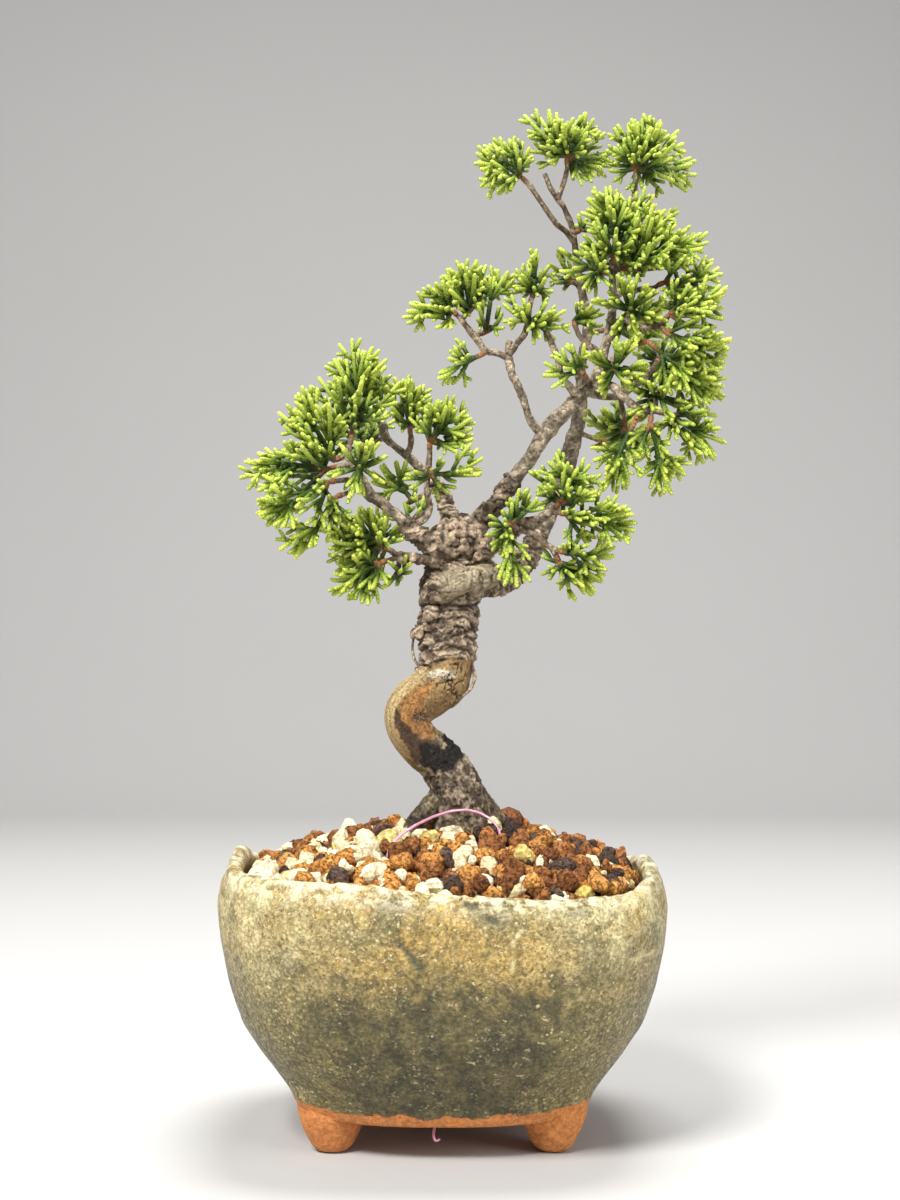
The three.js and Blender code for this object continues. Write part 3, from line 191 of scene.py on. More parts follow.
LIMBS = {
    "limb_left": (
        (2.5, -2, 125, 2.7), (-0.5, -5, 127, 2.2), (-3, -6, 128, 1.9), (-5.5, -7, 129.6, 1.75),
        (-8.5, -8, 132.4, 1.35), (-11, -8, 134.8, 1.15), (-14, -8.5, 137, 1.2),
        (-16, -9, 138.5, 1.35), (-17.5, -8.5, 141, 1.15), (-19.5, -7, 145, 1),
        (-21, -5, 148, 0.8)),
    "twig_left_up": (
        (-6.5, -7, 131.5, 0.9), (-4, -6, 133.5, 0.85), (-3, -5, 136, 0.75), (-3.5, -5, 139, 0.7),
        (-3.5, -4, 142.5, 0.7), (-3, -4, 147.5, 0.65)),
    "limb_left_back": (
        (2.5, 3, 129.5, 2), (1.6, 5, 134, 1.5), (0.8, 7, 137, 1.4), (-0.5, 8, 140.5, 1.25),
        (-2.5, 9, 143.5, 1.1), (-5.5, 10, 146.5, 1.1), (-8.5, 11, 149.5, 0.95),
        (-11.5, 12, 152, 0.8), (-13.5, 13, 154, 1.1), (-14, 14, 157, 1.2)),
    "twig_left_back": (
        (-8.5, 11, 149.5, 0.75), (-7.5, 9, 151.5, 0.7), (-7.4, 7.4, 153, 0.65)),
    "limb_low_left": (
        (0.5, -2, 123, 1.5), (-2, -5, 124.5, 1), (-5, -6, 124.5, 0.8), (-9.5, -6, 125, 0.7)),
    "leader": (
        (5, 0.5, 127, 3.4), (8, -1, 132.5, 1.9), (10.2, -1.5, 135, 1.6), (12.7, -2, 138.5, 1.6),
        (15.6, -2.5, 142.4, 1.7), (19.2, -3, 147.2, 1.65), (21.6, -3, 151.2, 1.8),
        (24.5, -3, 155, 2), (27, -3, 157.5, 1.7), (30, -3, 160.5, 1.45), (33, -3, 163.5, 1.3),
        (34.5, -3, 166.5, 1.2), (35.6, -3, 170, 1.05), (36.5, -2, 174, 1), (37.5, -1, 178.5, 0.95),
        (38, 0, 182.5, 0.9), (38, -0.5, 189, 0.8)),
    "back_leader": (
        (5, 3, 121, 4), (11, 10, 120.5, 3.2), (16, 15, 122.5, 2.7), (19.5, 17, 127, 2.4),
        (22.5, 19, 132, 2.1), (26, 20, 139, 1.9), (28.7, 21, 146.5, 2.1), (30, 21, 152.5, 2.1),
        (31.7, 21, 159, 1.7), (32.4, 20, 165.5, 1.35), (32.2, 19, 172, 1.25),
        (33.5, 18, 178, 1.15), (33, 16, 184, 1.1), (32, 14, 188.5, 0.95), (31, 12, 193, 0.85),
        (30, 9, 199, 0.75)),
    "limb_mid": (
        (22, -3, 152, 1.1), (19.3, -4, 155.5, 0.9), (18, -4, 159.5, 0.9), (16.5, -4, 163, 0.9),
        (15, -3.5, 166.5, 0.95), (14.5, -3, 169.5, 1.05)),
    "mid_left": (
        (14.5, -3, 169.5, 0.9), (12, -3, 170.5, 0.7), (9.5, -3, 171, 0.7), (8, -2.5, 173, 0.75),
        (6.5, -2, 175, 0.75), (4, -1, 178.5, 0.6)),
    "mid_stub": (
        (14.5, -3, 169.5, 0.8), (14.5, -2, 172.5, 0.7), (15, -2, 173.5, 0.65)),
    "mid_right": (
        (14.5, -3, 170, 0.8), (16.5, -2, 173, 0.7), (18.5, -1, 176, 0.7), (19.5, 0, 182.5, 0.6)),
    "inner_twig": (
        (30, -3, 160.5, 1), (28, -5, 162.5, 0.85), (26, -6, 165, 0.75), (25.5, -6.5, 167.5, 0.7),
        (24.6, -6, 170.5, 0.7), (22.8, -5, 175, 0.65)),
    "right_up": (
        (35.5, -3, 170.5, 0.9), (37, -4, 173.7, 0.8), (38.5, -5, 176, 0.8),
        (40, -5.5, 177.4, 0.75), (43.5, -5.5, 175.8, 0.8), (48, -5, 176.4, 0.7)),
    "right_mid": (
        (34.5, -3, 166, 0.95), (38.5, -4.5, 169.5, 0.8), (41.5, -5, 171.5, 0.75)),
    "right_low": (
        (33.5, -3, 163.5, 1.05), (37, -5, 163, 0.95), (39, -6, 161, 0.9), (43, -7, 157.5, 0.85),
        (46.5, -7, 157, 0.65)),
    "right_back": (
        (31.5, -2.6, 161.8, 0.95), (37.5, 2, 161.5, 0.75), (41, 6, 163, 0.75), (46, 9, 167, 0.65),
        (48, 10.5, 169.5, 0.6)),
    "small_back": (
        (35.5, -2, 170.5, 0.8), (33.5, 1, 172.5, 0.75), (30.8, 3.6, 175.6, 0.65)),
    "upper_right": (
        (38, 0, 183, 0.75), (40.5, 0, 185, 0.7), (46.5, -1.4, 185.4, 0.6)),
    "top_left": (
        (30, 9, 198.5, 0.75), (28, 6, 200, 0.7), (25.5, 4, 201.5, 0.65), (22, 1, 205.5, 0.6),
        (19.5, 0, 209, 0.6)),
    "top_mid": (
        (30, 9, 198.5, 0.75), (29.5, 9, 202, 0.7), (27.5, 7, 206, 0.65), (26, 6, 207.5, 0.65)),
    "top_stub": (
        (26, 6, 207.5, 0.65), (24.5, 5, 209.5, 0.6), (23, 3, 212.5, 0.6)),
    "top_centre": (
        (26, 6, 207.5, 0.65), (27, 5, 210, 0.6), (28, 3.6, 213.6, 0.5)),
    "top_right": (
        (38, -0.5, 188, 0.8), (39, 2, 193, 0.75), (40.5, 4, 198, 0.7), (42.5, 4, 202.5, 0.65),
        (43.5, 2, 210.6, 0.6)),
    "limb_front_right": (
        (6, -2, 124, 2.2), (10.5, -6, 127.5, 1.6), (13.5, -8, 129.5, 1.3), (16.5, -9, 131.5, 1.2),
        (20, -9, 132.5, 1.1), (23.6, -10, 134.6, 0.85)),
    "front_right_low": (
        (17, -9, 131, 0.8), (19.5, -10, 129.5, 0.7), (23.6, -10.4, 126.6, 0.6)),
    "bare_twig": (
        (4.5, -1, 130.5, 0.5), (6.3, -2, 134, 0.4), (9.2, -2, 137.5, 0.35)),
}

SPRAYS = {
    "left_outer": ((-23.5, -8, 144.5), (
        (-45.5, -7, 142), (-42, -12, 145.5), (-40, -4, 149.5), (-35, -14, 150), (-41, -11, 138.5),
        (-30.5, -20, 148), (-37.5, 0, 145))),
    "left_outer_low": ((-23.5, -12, 141), (
        (-41, -15, 133.5), (-39.5, -9, 132.5), (-34.5, -18, 129.5), (-39.5, -20, 136.5),
        (-30, -24, 135.5))),
    "left_hanging": ((-22, -12, 138), (
        (-36, -13, 125.5), (-33, -9, 126.5), (-29, -15, 125.5), (-23, -11, 127),
        (-25.5, -18, 132.5))),
    "left_upper": ((-22.5, -5, 147), (
        (-36, -5, 154.5), (-33.5, -9, 157.5), (-33, -4, 160.5), (-31.5, -1, 163), (-27.5, -7, 163),
        (-31, -15, 151.5), (-24.5, -14, 158.5))),
    "left_crown": ((-20.5, -2, 151.5), (
        (-28.5, 1, 166.5), (-24.5, -3, 170), (-20.5, -1, 175), (-17, -5, 171.5), (-14, 1, 170),
        (-12.5, 5, 169.5), (-9, -1, 165), (-22.5, 7, 169.5), (-17.5, -12, 163.5))),
    "left_inner": ((-7.5, 6, 154), (
        (-11.5, 3, 167), (-10, 10, 165.5), (-14.5, 14, 166), (-8, 4, 165.5), (-4, 8, 166),
        (-12, -4, 159), (-5, -4, 160))),
    "left_right": ((-3, -4, 149), (
        (1, -3, 162), (-1, 4, 161), (3.5, -7, 158.5), (6, -1, 159), (6, -9, 155), (7.5, -3, 154),
        (7.5, -7, 151), (-3, -11, 159))),
    "left_sprig": ((-3, -7, 143), (
        (9.5, -8, 147), (4, -5, 143.5), (1, -10, 146.5), (2, -5, 138.5), (-8, -11, 139))),
    "left_behind": ((-5.5, 8, 139.5), (
        (-11, 9, 149), (-9, 9, 138.5), (-6, 7, 142.5), (-15, 8, 147.5), (-17.5, 14, 144),
        (-10, 15, 144.5))),
    "under_limb": ((-7, 2, 133.5), (
        (-4.5, 3, 137.5), (-2.5, 6, 132), (-2.5, 2, 129.5), (-4, 7, 140.5), (-9, 10, 139))),
    "low_left_top": ((-12, -6, 126.5), (
        (-29, -5, 132.5), (-25.5, -11, 128.5), (-22.5, -7, 135), (-18, -3, 136.5),
        (-12.5, -9, 134.5), (-9, -6, 131), (-20, -16, 131), (-13.5, -16, 130))),
    "low_left": ((-12.5, -7, 124), (
        (-26, -8, 125.5), (-25.5, -6, 120), (-25, -8, 116), (-21.5, -3, 115), (-19.5, -9, 114.5),
        (-15.5, -14, 117), (-22, -16, 121.5))),
    "low_left_right": ((-9.8, -5, 123.2), (
        (-8.5, -5, 119.5), (-6, -3, 122), (-6.5, -8, 124), (-10.5, 0, 118.5), (-14, -8, 117.5))),
    "low_left_back": ((-12.5, 3, 127.5), (
        (-25, 12, 132.5), (-22, 18, 136.5), (-14.5, 14, 136.5), (-10.5, 8, 133), (-24, 14, 125.5),
        (-18, 12, 120))),
    "mid_left": ((3, -1, 179.5), (
        (-9, -5, 179.5), (-9, -2, 177), (-7, 4, 182), (-4, -3, 185), (-2.5, 5, 185.5),
        (-2, -7, 175), (-4, -9, 180))),
    "mid_top": ((5.5, 2, 180.5), (
        (0, 1, 191), (-0.5, 8, 189.5), (1, -8, 184), (4, 4, 193), (5.5, -3, 192.5), (8, 0, 193),
        (10, 5, 193), (7, -9, 187.5))),
    "mid_right_sprig": ((8.5, 0, 175.5), (
        (14.5, -1, 189.5), (12.5, 4, 191), (10.5, -3, 188.5), (7.5, -5, 181.5))),
    "mid_low_sprig": ((9, -6, 170), (
        (0.5, -8, 170.5), (-2, -8, 163.5), (1.5, -5, 162.5), (2, -12, 166.5))),
    "centre": ((20, 1, 184), (
        (15, 0, 187), (17, -4, 188.5), (21, 0, 195.5), (19, 5, 193), (23, -5, 187.5),
        (24.5, 1, 192), (24.5, 6, 187))),
    "centre_low": ((19, -3, 176.5), (
        (12.5, -4, 182), (17.5, -8, 182), (15.5, 1, 181.5), (21.5, -7, 172.5), (29, -5, 176.5),
        (26, -2, 180), (23, -10, 181))),
    "centre_back": ((30.5, 15.4, 190.5), (
        (26, 15, 198), (28, 20, 196.5), (36, 16, 193.5), (34, 20, 190.5), (25, 16, 190.5),
        (33, 19, 197))),
    "inner_sprig": ((31.5, -6, 164.5), (
        (26, -6, 172), (28.5, -3, 172.5), (25, -9, 168), (21, -6, 165))),
    "inner_fan": ((30, 5, 178), (
        (37.5, 7, 181.5), (37, 4, 178), (34.5, 9, 184.5), (32, 3, 183))),
    "top_left": ((18.5, 0, 210), (
        (6.5, -1, 216.5), (9, -5, 216.5), (7, 0, 210.5), (7.5, 4, 215), (11, 3, 220.5),
        (15.5, -3, 219), (13, 8, 219), (17, -6, 214), (10.5, -7, 210.5))),
    "top_centre": ((28, 3, 215), (
        (17.5, 1, 226), (21.5, 6, 227), (24.5, -3, 223), (28, 1, 224.5), (31.5, 4, 227),
        (34.5, 0, 225), (36.5, 6, 223.5), (39.5, 2, 217.5), (39, 4, 214.5), (35, 0, 210.5),
        (22.5, -5, 217), (32.5, 10, 220.5))),
    "top_right": ((43.5, 2, 212), (
        (38, 0, 223), (42, 5, 225.5), (43.5, -3, 223.5), (47, 2, 226.5), (51, 1, 222.5),
        (55.5, 4, 220), (57, 0, 214), (58.5, 4, 212.5), (36.5, 2, 213), (40.5, 8, 217.5),
        (47, -6, 216), (50, 9, 214.5))),
    "top_bud": ((30.5, 8, 200.5), (
        (30.5, 6, 205), (32, 10, 203.5), (35.5, 5, 201))),
    "upper_crown": ((38, -2, 191), (
        (32.5, 0, 206), (36, 7, 206.5), (37, -2, 207), (39.5, 5, 208.5), (41.5, -5, 203.5),
        (45.5, 3, 208), (48, 0, 207.5), (43, -11, 199.5), (34.5, -8, 197.5), (33, 3, 197.5),
        (37.5, -13, 195))),
    "upper_right": ((40, 1, 190.5), (
        (52, 4, 205.5), (51, -3, 200.5), (55.5, 0, 200), (58.5, 6, 197), (60.5, 1, 196.5),
        (57, -5, 190.5), (46.5, -8, 200.5), (50.5, -12, 193), (45, -14, 193))),
    "upper_left": ((36, -3, 188.5), (
        (25.5, -3, 194), (28, -8, 188.5), (30, -4, 195), (32.5, -12, 191), (34, -10, 184.5),
        (29.5, 1, 188))),
    "right_long": ((48, -2, 186), (
        (62.5, -1, 190.5), (59, 5, 191.5), (56.5, -6, 186.5), (61, 4, 186), (54, -9, 181))),
    "right_upper": ((49, -6, 177.5), (
        (62, -1, 186), (63, -5, 177.5), (62.5, 2, 183), (56, -12, 181), (58.5, -12, 179),
        (55.5, 2, 186))),
    "right_mid": ((48.5, -7, 175), (
        (62, -5, 174.5), (62.5, -1, 172), (61, 3, 169.5), (59.5, -12, 172), (55.5, -15, 169),
        (61, -7, 165))),
    "right_low": ((43.5, -7, 172), (
        (63, -4, 162.5), (62.5, 1, 161.5), (59.5, -6, 158.5), (62, 5, 167), (55.5, -12, 165),
        (54, -11, 160), (50.5, -7, 159.5))),
    "low_right_outer": ((48.5, -7, 156.5), (
        (61, -2, 155), (58.5, -6, 151), (60, 2, 150), (58.5, -5, 147), (58.5, 0, 145.5),
        (60.5, 3, 159), (53.5, -13, 153), (54.5, -12, 149))),
    "low_right_down": ((45.5, -8, 155.5), (
        (54, -6, 142.5), (51, -10, 142.5), (49, -4, 143.5), (48, -4, 137.5), (45, -7, 139),
        (47.5, 1, 143), (48.5, -14, 146.5))),
    "low_right_sprig": ((42.5, -8, 156), (
        (32, -8, 145.5), (38, -6, 138), (34.5, -4, 147), (40.5, -9, 139.5), (35, -10, 141))),
    "inner_right": ((41, 6, 157), (
        (31, 9, 158), (35, 14, 157), (33.5, 8, 153), (41, 14, 152.5), (37, 12, 160),
        (43.5, 12, 153))),
    "inner_back": ((49, 12, 171), (
        (43.5, 18, 175), (47.5, 16, 176), (53, 16, 174.5), (55.5, 18, 170), (53, 22, 166.5),
        (47.5, 24, 168), (57, 14, 164))),
    "front_right_top": ((24.5, -11, 135.5), (
        (19.5, -8, 144.5), (21.5, -4, 141.5), (23.5, -4, 147), (26, -9, 146), (30.5, -7, 145),
        (32.5, -2, 143), (35.5, -6, 143.5), (27.5, -15, 142), (34, -11, 139))),
    "front_right_mid": ((25.5, -12, 134), (
        (40.5, -12, 136), (37, -7, 138), (37.5, -16, 133), (42, -10, 130.5), (41.5, -7, 128.5),
        (40.5, -4, 133), (33.5, -20, 131), (30.5, -21, 133.5))),
    "front_right_low": ((25, -11, 126), (
        (38, -12, 127), (37.5, -8, 124.5), (35.5, -13, 122), (33, -18, 124), (29, -20, 126.5))),
    "front_right_hang": ((24.5, -10, 125), (
        (35.5, -10, 119), (33.5, -6, 117.5), (29.5, -12, 118), (27.5, -8, 117), (25.5, -14, 119),
        (22.5, -10, 119), (20.5, -8, 125.5))),
    "front_right_near": ((15, -11.5, 131.5), (
        (9, -12, 131.5), (14, -10, 135.5), (16.5, -12, 137.5), (19.5, -8, 139), (9.5, -14, 126.5),
        (12.5, -12, 123.5), (13.5, -18, 128), (16, -13, 117), (14.5, -18, 124.5))),
    "back_upper": ((34.5, 13, 193.5), (
        (42, 24, 202.5), (47, 28, 198), (37.5, 26, 204.5), (48.5, 20, 199), (43.5, 30, 193),
        (38, 32, 199))),
    "back_right": ((37, 20, 180), (
        (49.5, 30, 187), (56.5, 28, 182), (47.5, 34, 191.5), (54, 22, 188), (51.5, 36, 181),
        (43, 36, 187))),
    "back_low_right": ((36, 24, 155), (
        (47.5, 34, 158.5), (54.5, 30, 155.5), (49, 26, 151.5), (42, 38, 154), (54, 24, 159.5),
        (45, 32, 148.5))),
    "back_left": ((-16.5, 16, 152.5), (
        (-27, 26, 160), (-22.5, 28, 166), (-31, 22, 154.5), (-16.5, 32, 165.5), (-25, 30, 150.5),
        (-33.5, 16, 150))),
}

# Bark: the old bark's lower edge as a curve over x (middle, height there, fall, lowest), and how
# far along the trunk its dark foot ends; creases that run round the upper trunk as (height,
# slope, depth); patches of the bend as paths of (x, z, half width) on the front; the eye and
# the star of cracks as (x, z, size, spokes); the pale knot as (x, z, half width, half height);
# lumps, and the clump of small knobs on the pruned top as its middle and half sizes, and the
# knobs' count and radii; thin loose strands

OLD_BARK_EDGE = (2.6, 102.6, 0.045, 100.2)
FOOT_END = (41.5, 44.5)
CREASES = ((114.2, 0.02, 1), (106.7, 0.46, 0.9), (110.6, -0.2, 0.6), (118.6, 0.2, 0.8))
VEIN = (
    (-2.7, 96.9, 0.5), (-5.6, 94.4, 1.9), (-7, 91.4, 2.6), (-6.3, 88.8, 2.9), (-3.6, 87.3, 1.8),
)
CRACKED = ((-2.6, 100, 1), (1.4, 99, 3.6), (3.8, 95.2, 2.6), (2.4, 92.6, 1.1))
STREAK = (
    (-10.2, 91.6, 0.25), (-9.7, 89, 0.8), (-8, 86.2, 1.5), (-5.2, 83.4, 2.3), (-3.6, 82, 3.3),
)
CHAR = ((-3.6, 82.8, 1.6), (-1.8, 80.8, 2.5), (0.8, 80.6, 2), (2.6, 82.6, 1.7), (1, 85.6, 1.1))
EYE = (-4.9, 90, 1.9, 11)
KNOT = (-0.3, 99.3, 3, 1.1)
STAR = (0.6, 97.9, 2.6, 7)
LUMPS = ((-2.9, -5.6, 112.7, 1.1), (-1.8, -6.1, 112.9, 0.9), (-5, -3, 108.9, 1.1))
CALLUS_CLUMP = (3.4, -2.4, 129, 5.6, 4.2, 3.8)
KNOB_COUNT, KNOB_SIZE = 60, (0.8, 1.5)
STRANDS = (
    (
        (-4.8, -1.5, 109.4, 0.4), (-6.2, -1.6, 108, 0.32), (-6.8, -1.7, 105.6, 0.28),
        (-6.5, -1.8, 103, 0.3), (-5.3, -1.8, 100.9, 0.34), (-4, -1.8, 99.8, 0.4),
    ),
    ((6.2, -2.6, 101.4, 0.5), (6.9, -3.2, 98.6, 0.42), (6, -4.2, 96, 0.36), (4.2, -5, 94.4, 0.3)),
)

# Sprays that the solids leave out, where the foliage has to close in front of a limb

EXTRA_SPRAYS = {
    "over_left_limb": ((-18, -11, 143.5), (
        (-11.5, -15, 146.5), (-13, -16, 140), (-20.5, -17, 136), (-25.5, -15, 141.5),
        (-22, -17, 148), (-16, -17, 150))),
    "right_inner_high": ((41, -4, 179), (
        (33, -8, 182), (36.5, -9, 174.5), (43, -12, 172.5), (49, -9, 177), (47, -9, 184),
        (39, -9, 187))),
    "right_inner_low": ((37, -4, 168), (
        (30, -9, 170), (33, -10, 163.5), (41, -12, 162), (46, -9, 167), (43.5, -9, 173.5))),
    "right_middle_low": ((47, -4, 160), (
        (40, -9, 162.5), (42, -11, 155.5), (50, -11, 153), (56, -8, 158), (53.5, -9, 165.5))),
}

# Wood: the step of the trunk's skin and its rounds of smoothing, a twig's radii at the spray and
# at the wood, the radius from which a limb's first stretch joins the trunk's skin, and how
# finely each tube is drawn

SKIN_STEP, SKIN_SMOOTHING = 0.29, 5
TWIG_TIP, TWIG_ROOT = 0.55, 0.65
THICK_LIMB, FIRST_STRETCH = 1.2, 5
TRUNK_RINGS, TWIST_RINGS, ROOT_RINGS, STRETCH_RINGS, TRUNK_SIDES = 160, 40, 24, 30, 24
KNOB_RINGS, KNOB_SIDES = 9, 16
LIMB_STEP, LIMB_SIDES, TWIG_SIDES = 0.45, 16, 9
KNOB_SEED = 3

# Stage: the floor's sweep in millimetres; the height that the lights look at, and lights as
# (name, place, power, size), in metres; the world's light; the camera's place in millimetres,
# its upward slope and its lens

FLOOR_REACH, FLOOR_BACK, FLOOR_BEND, FLOOR_TALL = 2500, 900, 500, 2200
LIGHT_AIM = 0.11
LIGHTS = (
    ("key", (-0.45, -0.75, 0.95), 26, 0.4),
    ("fill", (0.9, -0.6, 0.45), 7.5, 0.7),
    ("top", (0.1, 0.2, 1.15), 16, 0.5),
)
WORLD_LIGHT = 0.36
CAMERA_PLACE = (1.5, -400, 98)
CAMERA_RISE = 80 / 1800
SENSOR_HEIGHT, LENS = 36, 54

# Foliage, laid out as in the solids: where branchlets leave a stem and how they turn; how far
# they stop short of the solids' tips; angle, first place and taper of side shoots and lobes;
# rings and sides of the tubes; and the length of a scale leaf

GAP = 0.35
COLLAR = 1.3
STEM_SHARE = 0.62
BRANCH_ANGLE = 40
ROLLS = (72, -72, 165)
COPY_LENGTH = 0.88
TIP_BACK = 0.8
STEM_RADII = (0.66, 0.62)
SIDE_LAYOUT, LOBE_LAYOUT = (38, 2, 0.85), (42, 1.8, 0.7)
STEM_MESH, MAIN_MESH, SIDE_MESH, LOBE_MESH = (8, 8), (9, 6), (5, 6), (4, 5)
SCALE_LEAF = 0.8
SPRAY_SEED = 7


# Sizes and colours that a user would change

def length(name, description, default):
    """A size property in metres."""
    return FloatProperty(name=name, description=description, default=default, min=0,
                         unit="LENGTH", precision=5)


def colour(name, description, default):
    """A colour property."""
    return FloatVectorProperty(name=name, description=description, default=default,
                               subtype="COLOR", size=3, min=0, max=1)


class BonsaiSizes(bpy.types.PropertyGroup):
    """Sizes of the small forms that the frame leaves to the dressing."""
    shoot_radius: length("Shoot radius", "Radius of a green branchlet", 0.00051)
    side_pitch: length("Side shoot pitch", "Step between side shoots", 0.0022)
    side_length: length("Side shoot length", "Length of the longest side shoots", 0.0072)
    twig_pitch: length("Lobe pitch", "Step between the lobes of a side shoot", 0.002)
    twig_length: length("Lobe length", "Length of the longest lobes", 0.0029)
    grain_small: length("Small grain", "Radius of the smallest soil grains", 0.001)
    grain_large: length("Large grain", "Radius of the largest soil grains", 0.0027)
    grain_count: IntProperty(name="Grain tries", description="Places tried for soil grains",
                             default=9000, min=100)
    wire_radius: length("Wire radius", "Radius of the tie wire", 0.0003)
    glaze_relief: length("Glaze relief", "Depth of the hollows in the pot's skin", 0.0005)
    bark_relief: length("Bark relief", "Depth of the bark's folds and flakes", 0.00075)


class BonsaiColours(bpy.types.PropertyGroup):
    """Finish colours, as linear values."""
    leaf_tip: colour("Leaf tip", "Fresh tips of the branchlets", (0.50, 0.58, 0.085))
    leaf: colour("Leaf", "Grown branchlets", (0.135, 0.22, 0.012))
    # The inner leaf is old leaf near the hubs, darkened further as painted shade inside the canopy
    leaf_inner_shaded: colour("Inner leaf", "Old leaf near the hubs", (0.03, 0.065, 0.006))
    twig: colour("Twig", "Brown stems of the sprays", (0.23, 0.105, 0.045))
    # The glaze ground is also darkened towards the foot as painted shade
    glaze: colour("Glaze", "Olive ground of the glaze", (0.27, 0.215, 0.078))
    glaze_ochre: colour("Ochre glaze", "Golden areas of the glaze", (0.60, 0.385, 0.1))
    glaze_cream: colour("Cream speckle", "Light speckle in the glaze", (0.80, 0.68, 0.36))
    glaze_dark: colour("Dark glaze", "Grey-green blots in the glaze", (0.06, 0.058, 0.026))
    glaze_rim: colour("Rim crust", "Whitish crust of the rim", (0.66, 0.60, 0.40))
    clay: colour("Clay", "Bare clay of the feet", (0.56, 0.205, 0.055))
    bark: colour("Bark", "Old grey-brown bark", (0.22, 0.155, 0.1))
    # Bark flakes also gives the painted light on the knobs of the pruned top
    bark_light: colour("Bark flakes", "Weathered faces of the bark", (0.58, 0.45, 0.31))
    # Bark folds also gives the painted shade under the old bark's flakes, between the pruned top's
    # knobs and in the limbs' flake grooves
    bark_dark: colour("Bark folds", "Dark folds of the bark", (0.022, 0.015, 0.011))
    # The limb colour is scaled into a lit and a shaded copy, painted light and shade on the limbs'
    # knobs
    limb: colour("Limb", "Grey-tan bark of the limbs", (0.50, 0.41, 0.29))
    vein: colour("Live vein", "Orange-brown smooth bark", (0.31, 0.145, 0.043))
    deadwood: colour("Deadwood", "Cream weathered wood", (0.55, 0.405, 0.19))
    moss: colour("Moss", "Yellow-brown flecks low on the trunk", (0.20, 0.165, 0.055))
    wire: colour("Wire", "Pink tie wire", (0.78, 0.36, 0.50))
    floor: colour("Floor", "Studio floor", (0.44, 0.43, 0.415))


def sizes():
    """The sizes set in the panel."""
    return bpy.context.scene.bonsai_sizes


def colours():
    """The colours set in the panel."""
    return bpy.context.scene.bonsai_colours


# Surfaces as whole arrays

def noise(points, size, seed=0):
    """Smooth value noise from -1 to 1: hashed values at the corners of cubes of side size,
    blended by 3 t^2 - 2 t^3 between them."""
    place = np.asarray(points, float) / size + 17.3 * (seed + 1)
    cell = np.floor(place).astype(np.int64)
    t = place - cell
    t = t * t * (3 - 2 * t)
    total = np.zeros(place.shape[:-1])
    for corner in np.ndindex(2, 2, 2):
        key = (cell + corner) * (73856093, 19349663, 83492791)
        key = key[..., 0] ^ key[..., 1] ^ key[..., 2]
        key = ((key ^ (key >> 13)) * 1274126177) & 0x7FFFFFFF
        key = ((key ^ (key >> 16)) * 668265263) & 0x7FFFFFFF
        weight = np.prod(np.where(corner, t, 1 - t), axis=-1)
        total += weight * (key / 0x3FFFFFFF - 1)
    return total


def fractal(points, size, seed=0, octaves=3):
    """Sum of noise at halving sizes and halving strengths."""
    return sum(noise(points, size / 2 ** k, seed + k) / 2 ** k for k in range(octaves))


def smoothstep(low, high, value):
    """0 under low, 1 over high, 3 t^2 - 2 t^3 between."""
    t = np.clip((value - low) / (high - low), 0, 1)
    return t * t * (3 - 2 * t)


def blend(first, second, share):
    """first + share (second - first), for colours by point."""
    share = np.asarray(share)[..., None]
    return np.asarray(first) * (1 - share) + np.asarray(second) * share


def unit(vectors):
    """Vectors over their lengths."""
    return vectors / np.linalg.norm(vectors, axis=-1, keepdims=True)


def placed(points):
    """Design millimetres to metres in the frame."""
    return np.asarray(points, float) * MM + POT_MIDDLE


def curve(stations, count):
    """Catmull-Rom curve through the stations: on each stretch, half of 2 p1 + (p2 - p0) t +
    (2 p0 - 5 p1 + 4 p2 - p3) t^2 + (3 p1 - p0 - 3 p2 + p3) t^3."""
    stations = np.asarray(stations, float)
    t = np.linspace(0, len(stations) - 1, count)
    i = np.minimum(t.astype(int), len(stations) - 2)
    t = (t - i)[:, None]
    ends = np.vstack([2 * stations[0] - stations[1], stations, 2 * stations[-1] - stations[-2]])
    p0, p1, p2, p3 = (ends[i + k] for k in range(4))
    return 0.5 * (2 * p1 + (p2 - p0) * t + (2 * p0 - 5 * p1 + 4 * p2 - p3) * t ** 2
                  + (3 * p1 - p0 - 3 * p2 + p3) * t ** 3)


def length_along(centres):
    """The length of a line of points up to each of them."""
    steps = np.linalg.norm(np.diff(centres, axis=0), axis=1)
    return np.concatenate([[0], np.cumsum(steps)])


def sweep(centres, sides):
    """Directions out of a centre line: a ring of sides directions square to the line at each
    point, turned as little as possible from one ring to the next."""
    tangents = unit(np.gradient(centres, axis=0))
    start = np.cross(tangents[0], (0, 0, 1) if abs(tangents[0][2]) < 0.9 else (0, 1, 0))
    across = [unit(start)]
    for tangent in tangents[1:]:
        step = across[-1] - np.dot(across[-1], tangent) * tangent
        across.append(unit(step))
    across = np.array(across)
    other = np.cross(tangents, across)
    angle = np.arange(sides) * 2 * np.pi / sides
    return across[:, None] * np.cos(angle)[:, None] + other[:, None] * np.sin(angle)[:, None]


def grid_faces(rows, columns, wrap_rows=False, wrap_columns=True):
    """Quads of a grid, closed round its rows or columns where they wrap."""
    row = np.arange(rows - (not wrap_rows))[:, None]
    column = np.arange(columns - (not wrap_columns))[None]
    after, beside = (row + 1) % rows, (column + 1) % columns
    corners = [row * columns + column, row * columns + beside,
               after * columns + beside, after * columns + column]
    return np.stack(np.broadcast_arrays(*corners), axis=-1).reshape(-1, 4)


def tube_faces(rings, sides):
    """Quads of a tube's side and fans of triangles round the middles of its two ends, which
    are the two points after the grid."""
    side = np.arange(sides)
    after = (side + 1) % sides
    first, last = rings * sides, rings * sides + 1
    top = (rings - 1) * sides
    ends = np.concatenate([
        np.stack([np.full(sides, first), after, side], axis=-1),
        np.stack([np.full(sides, last), top + side, top + after], axis=-1)])
    return grid_faces(rings, sides), ends


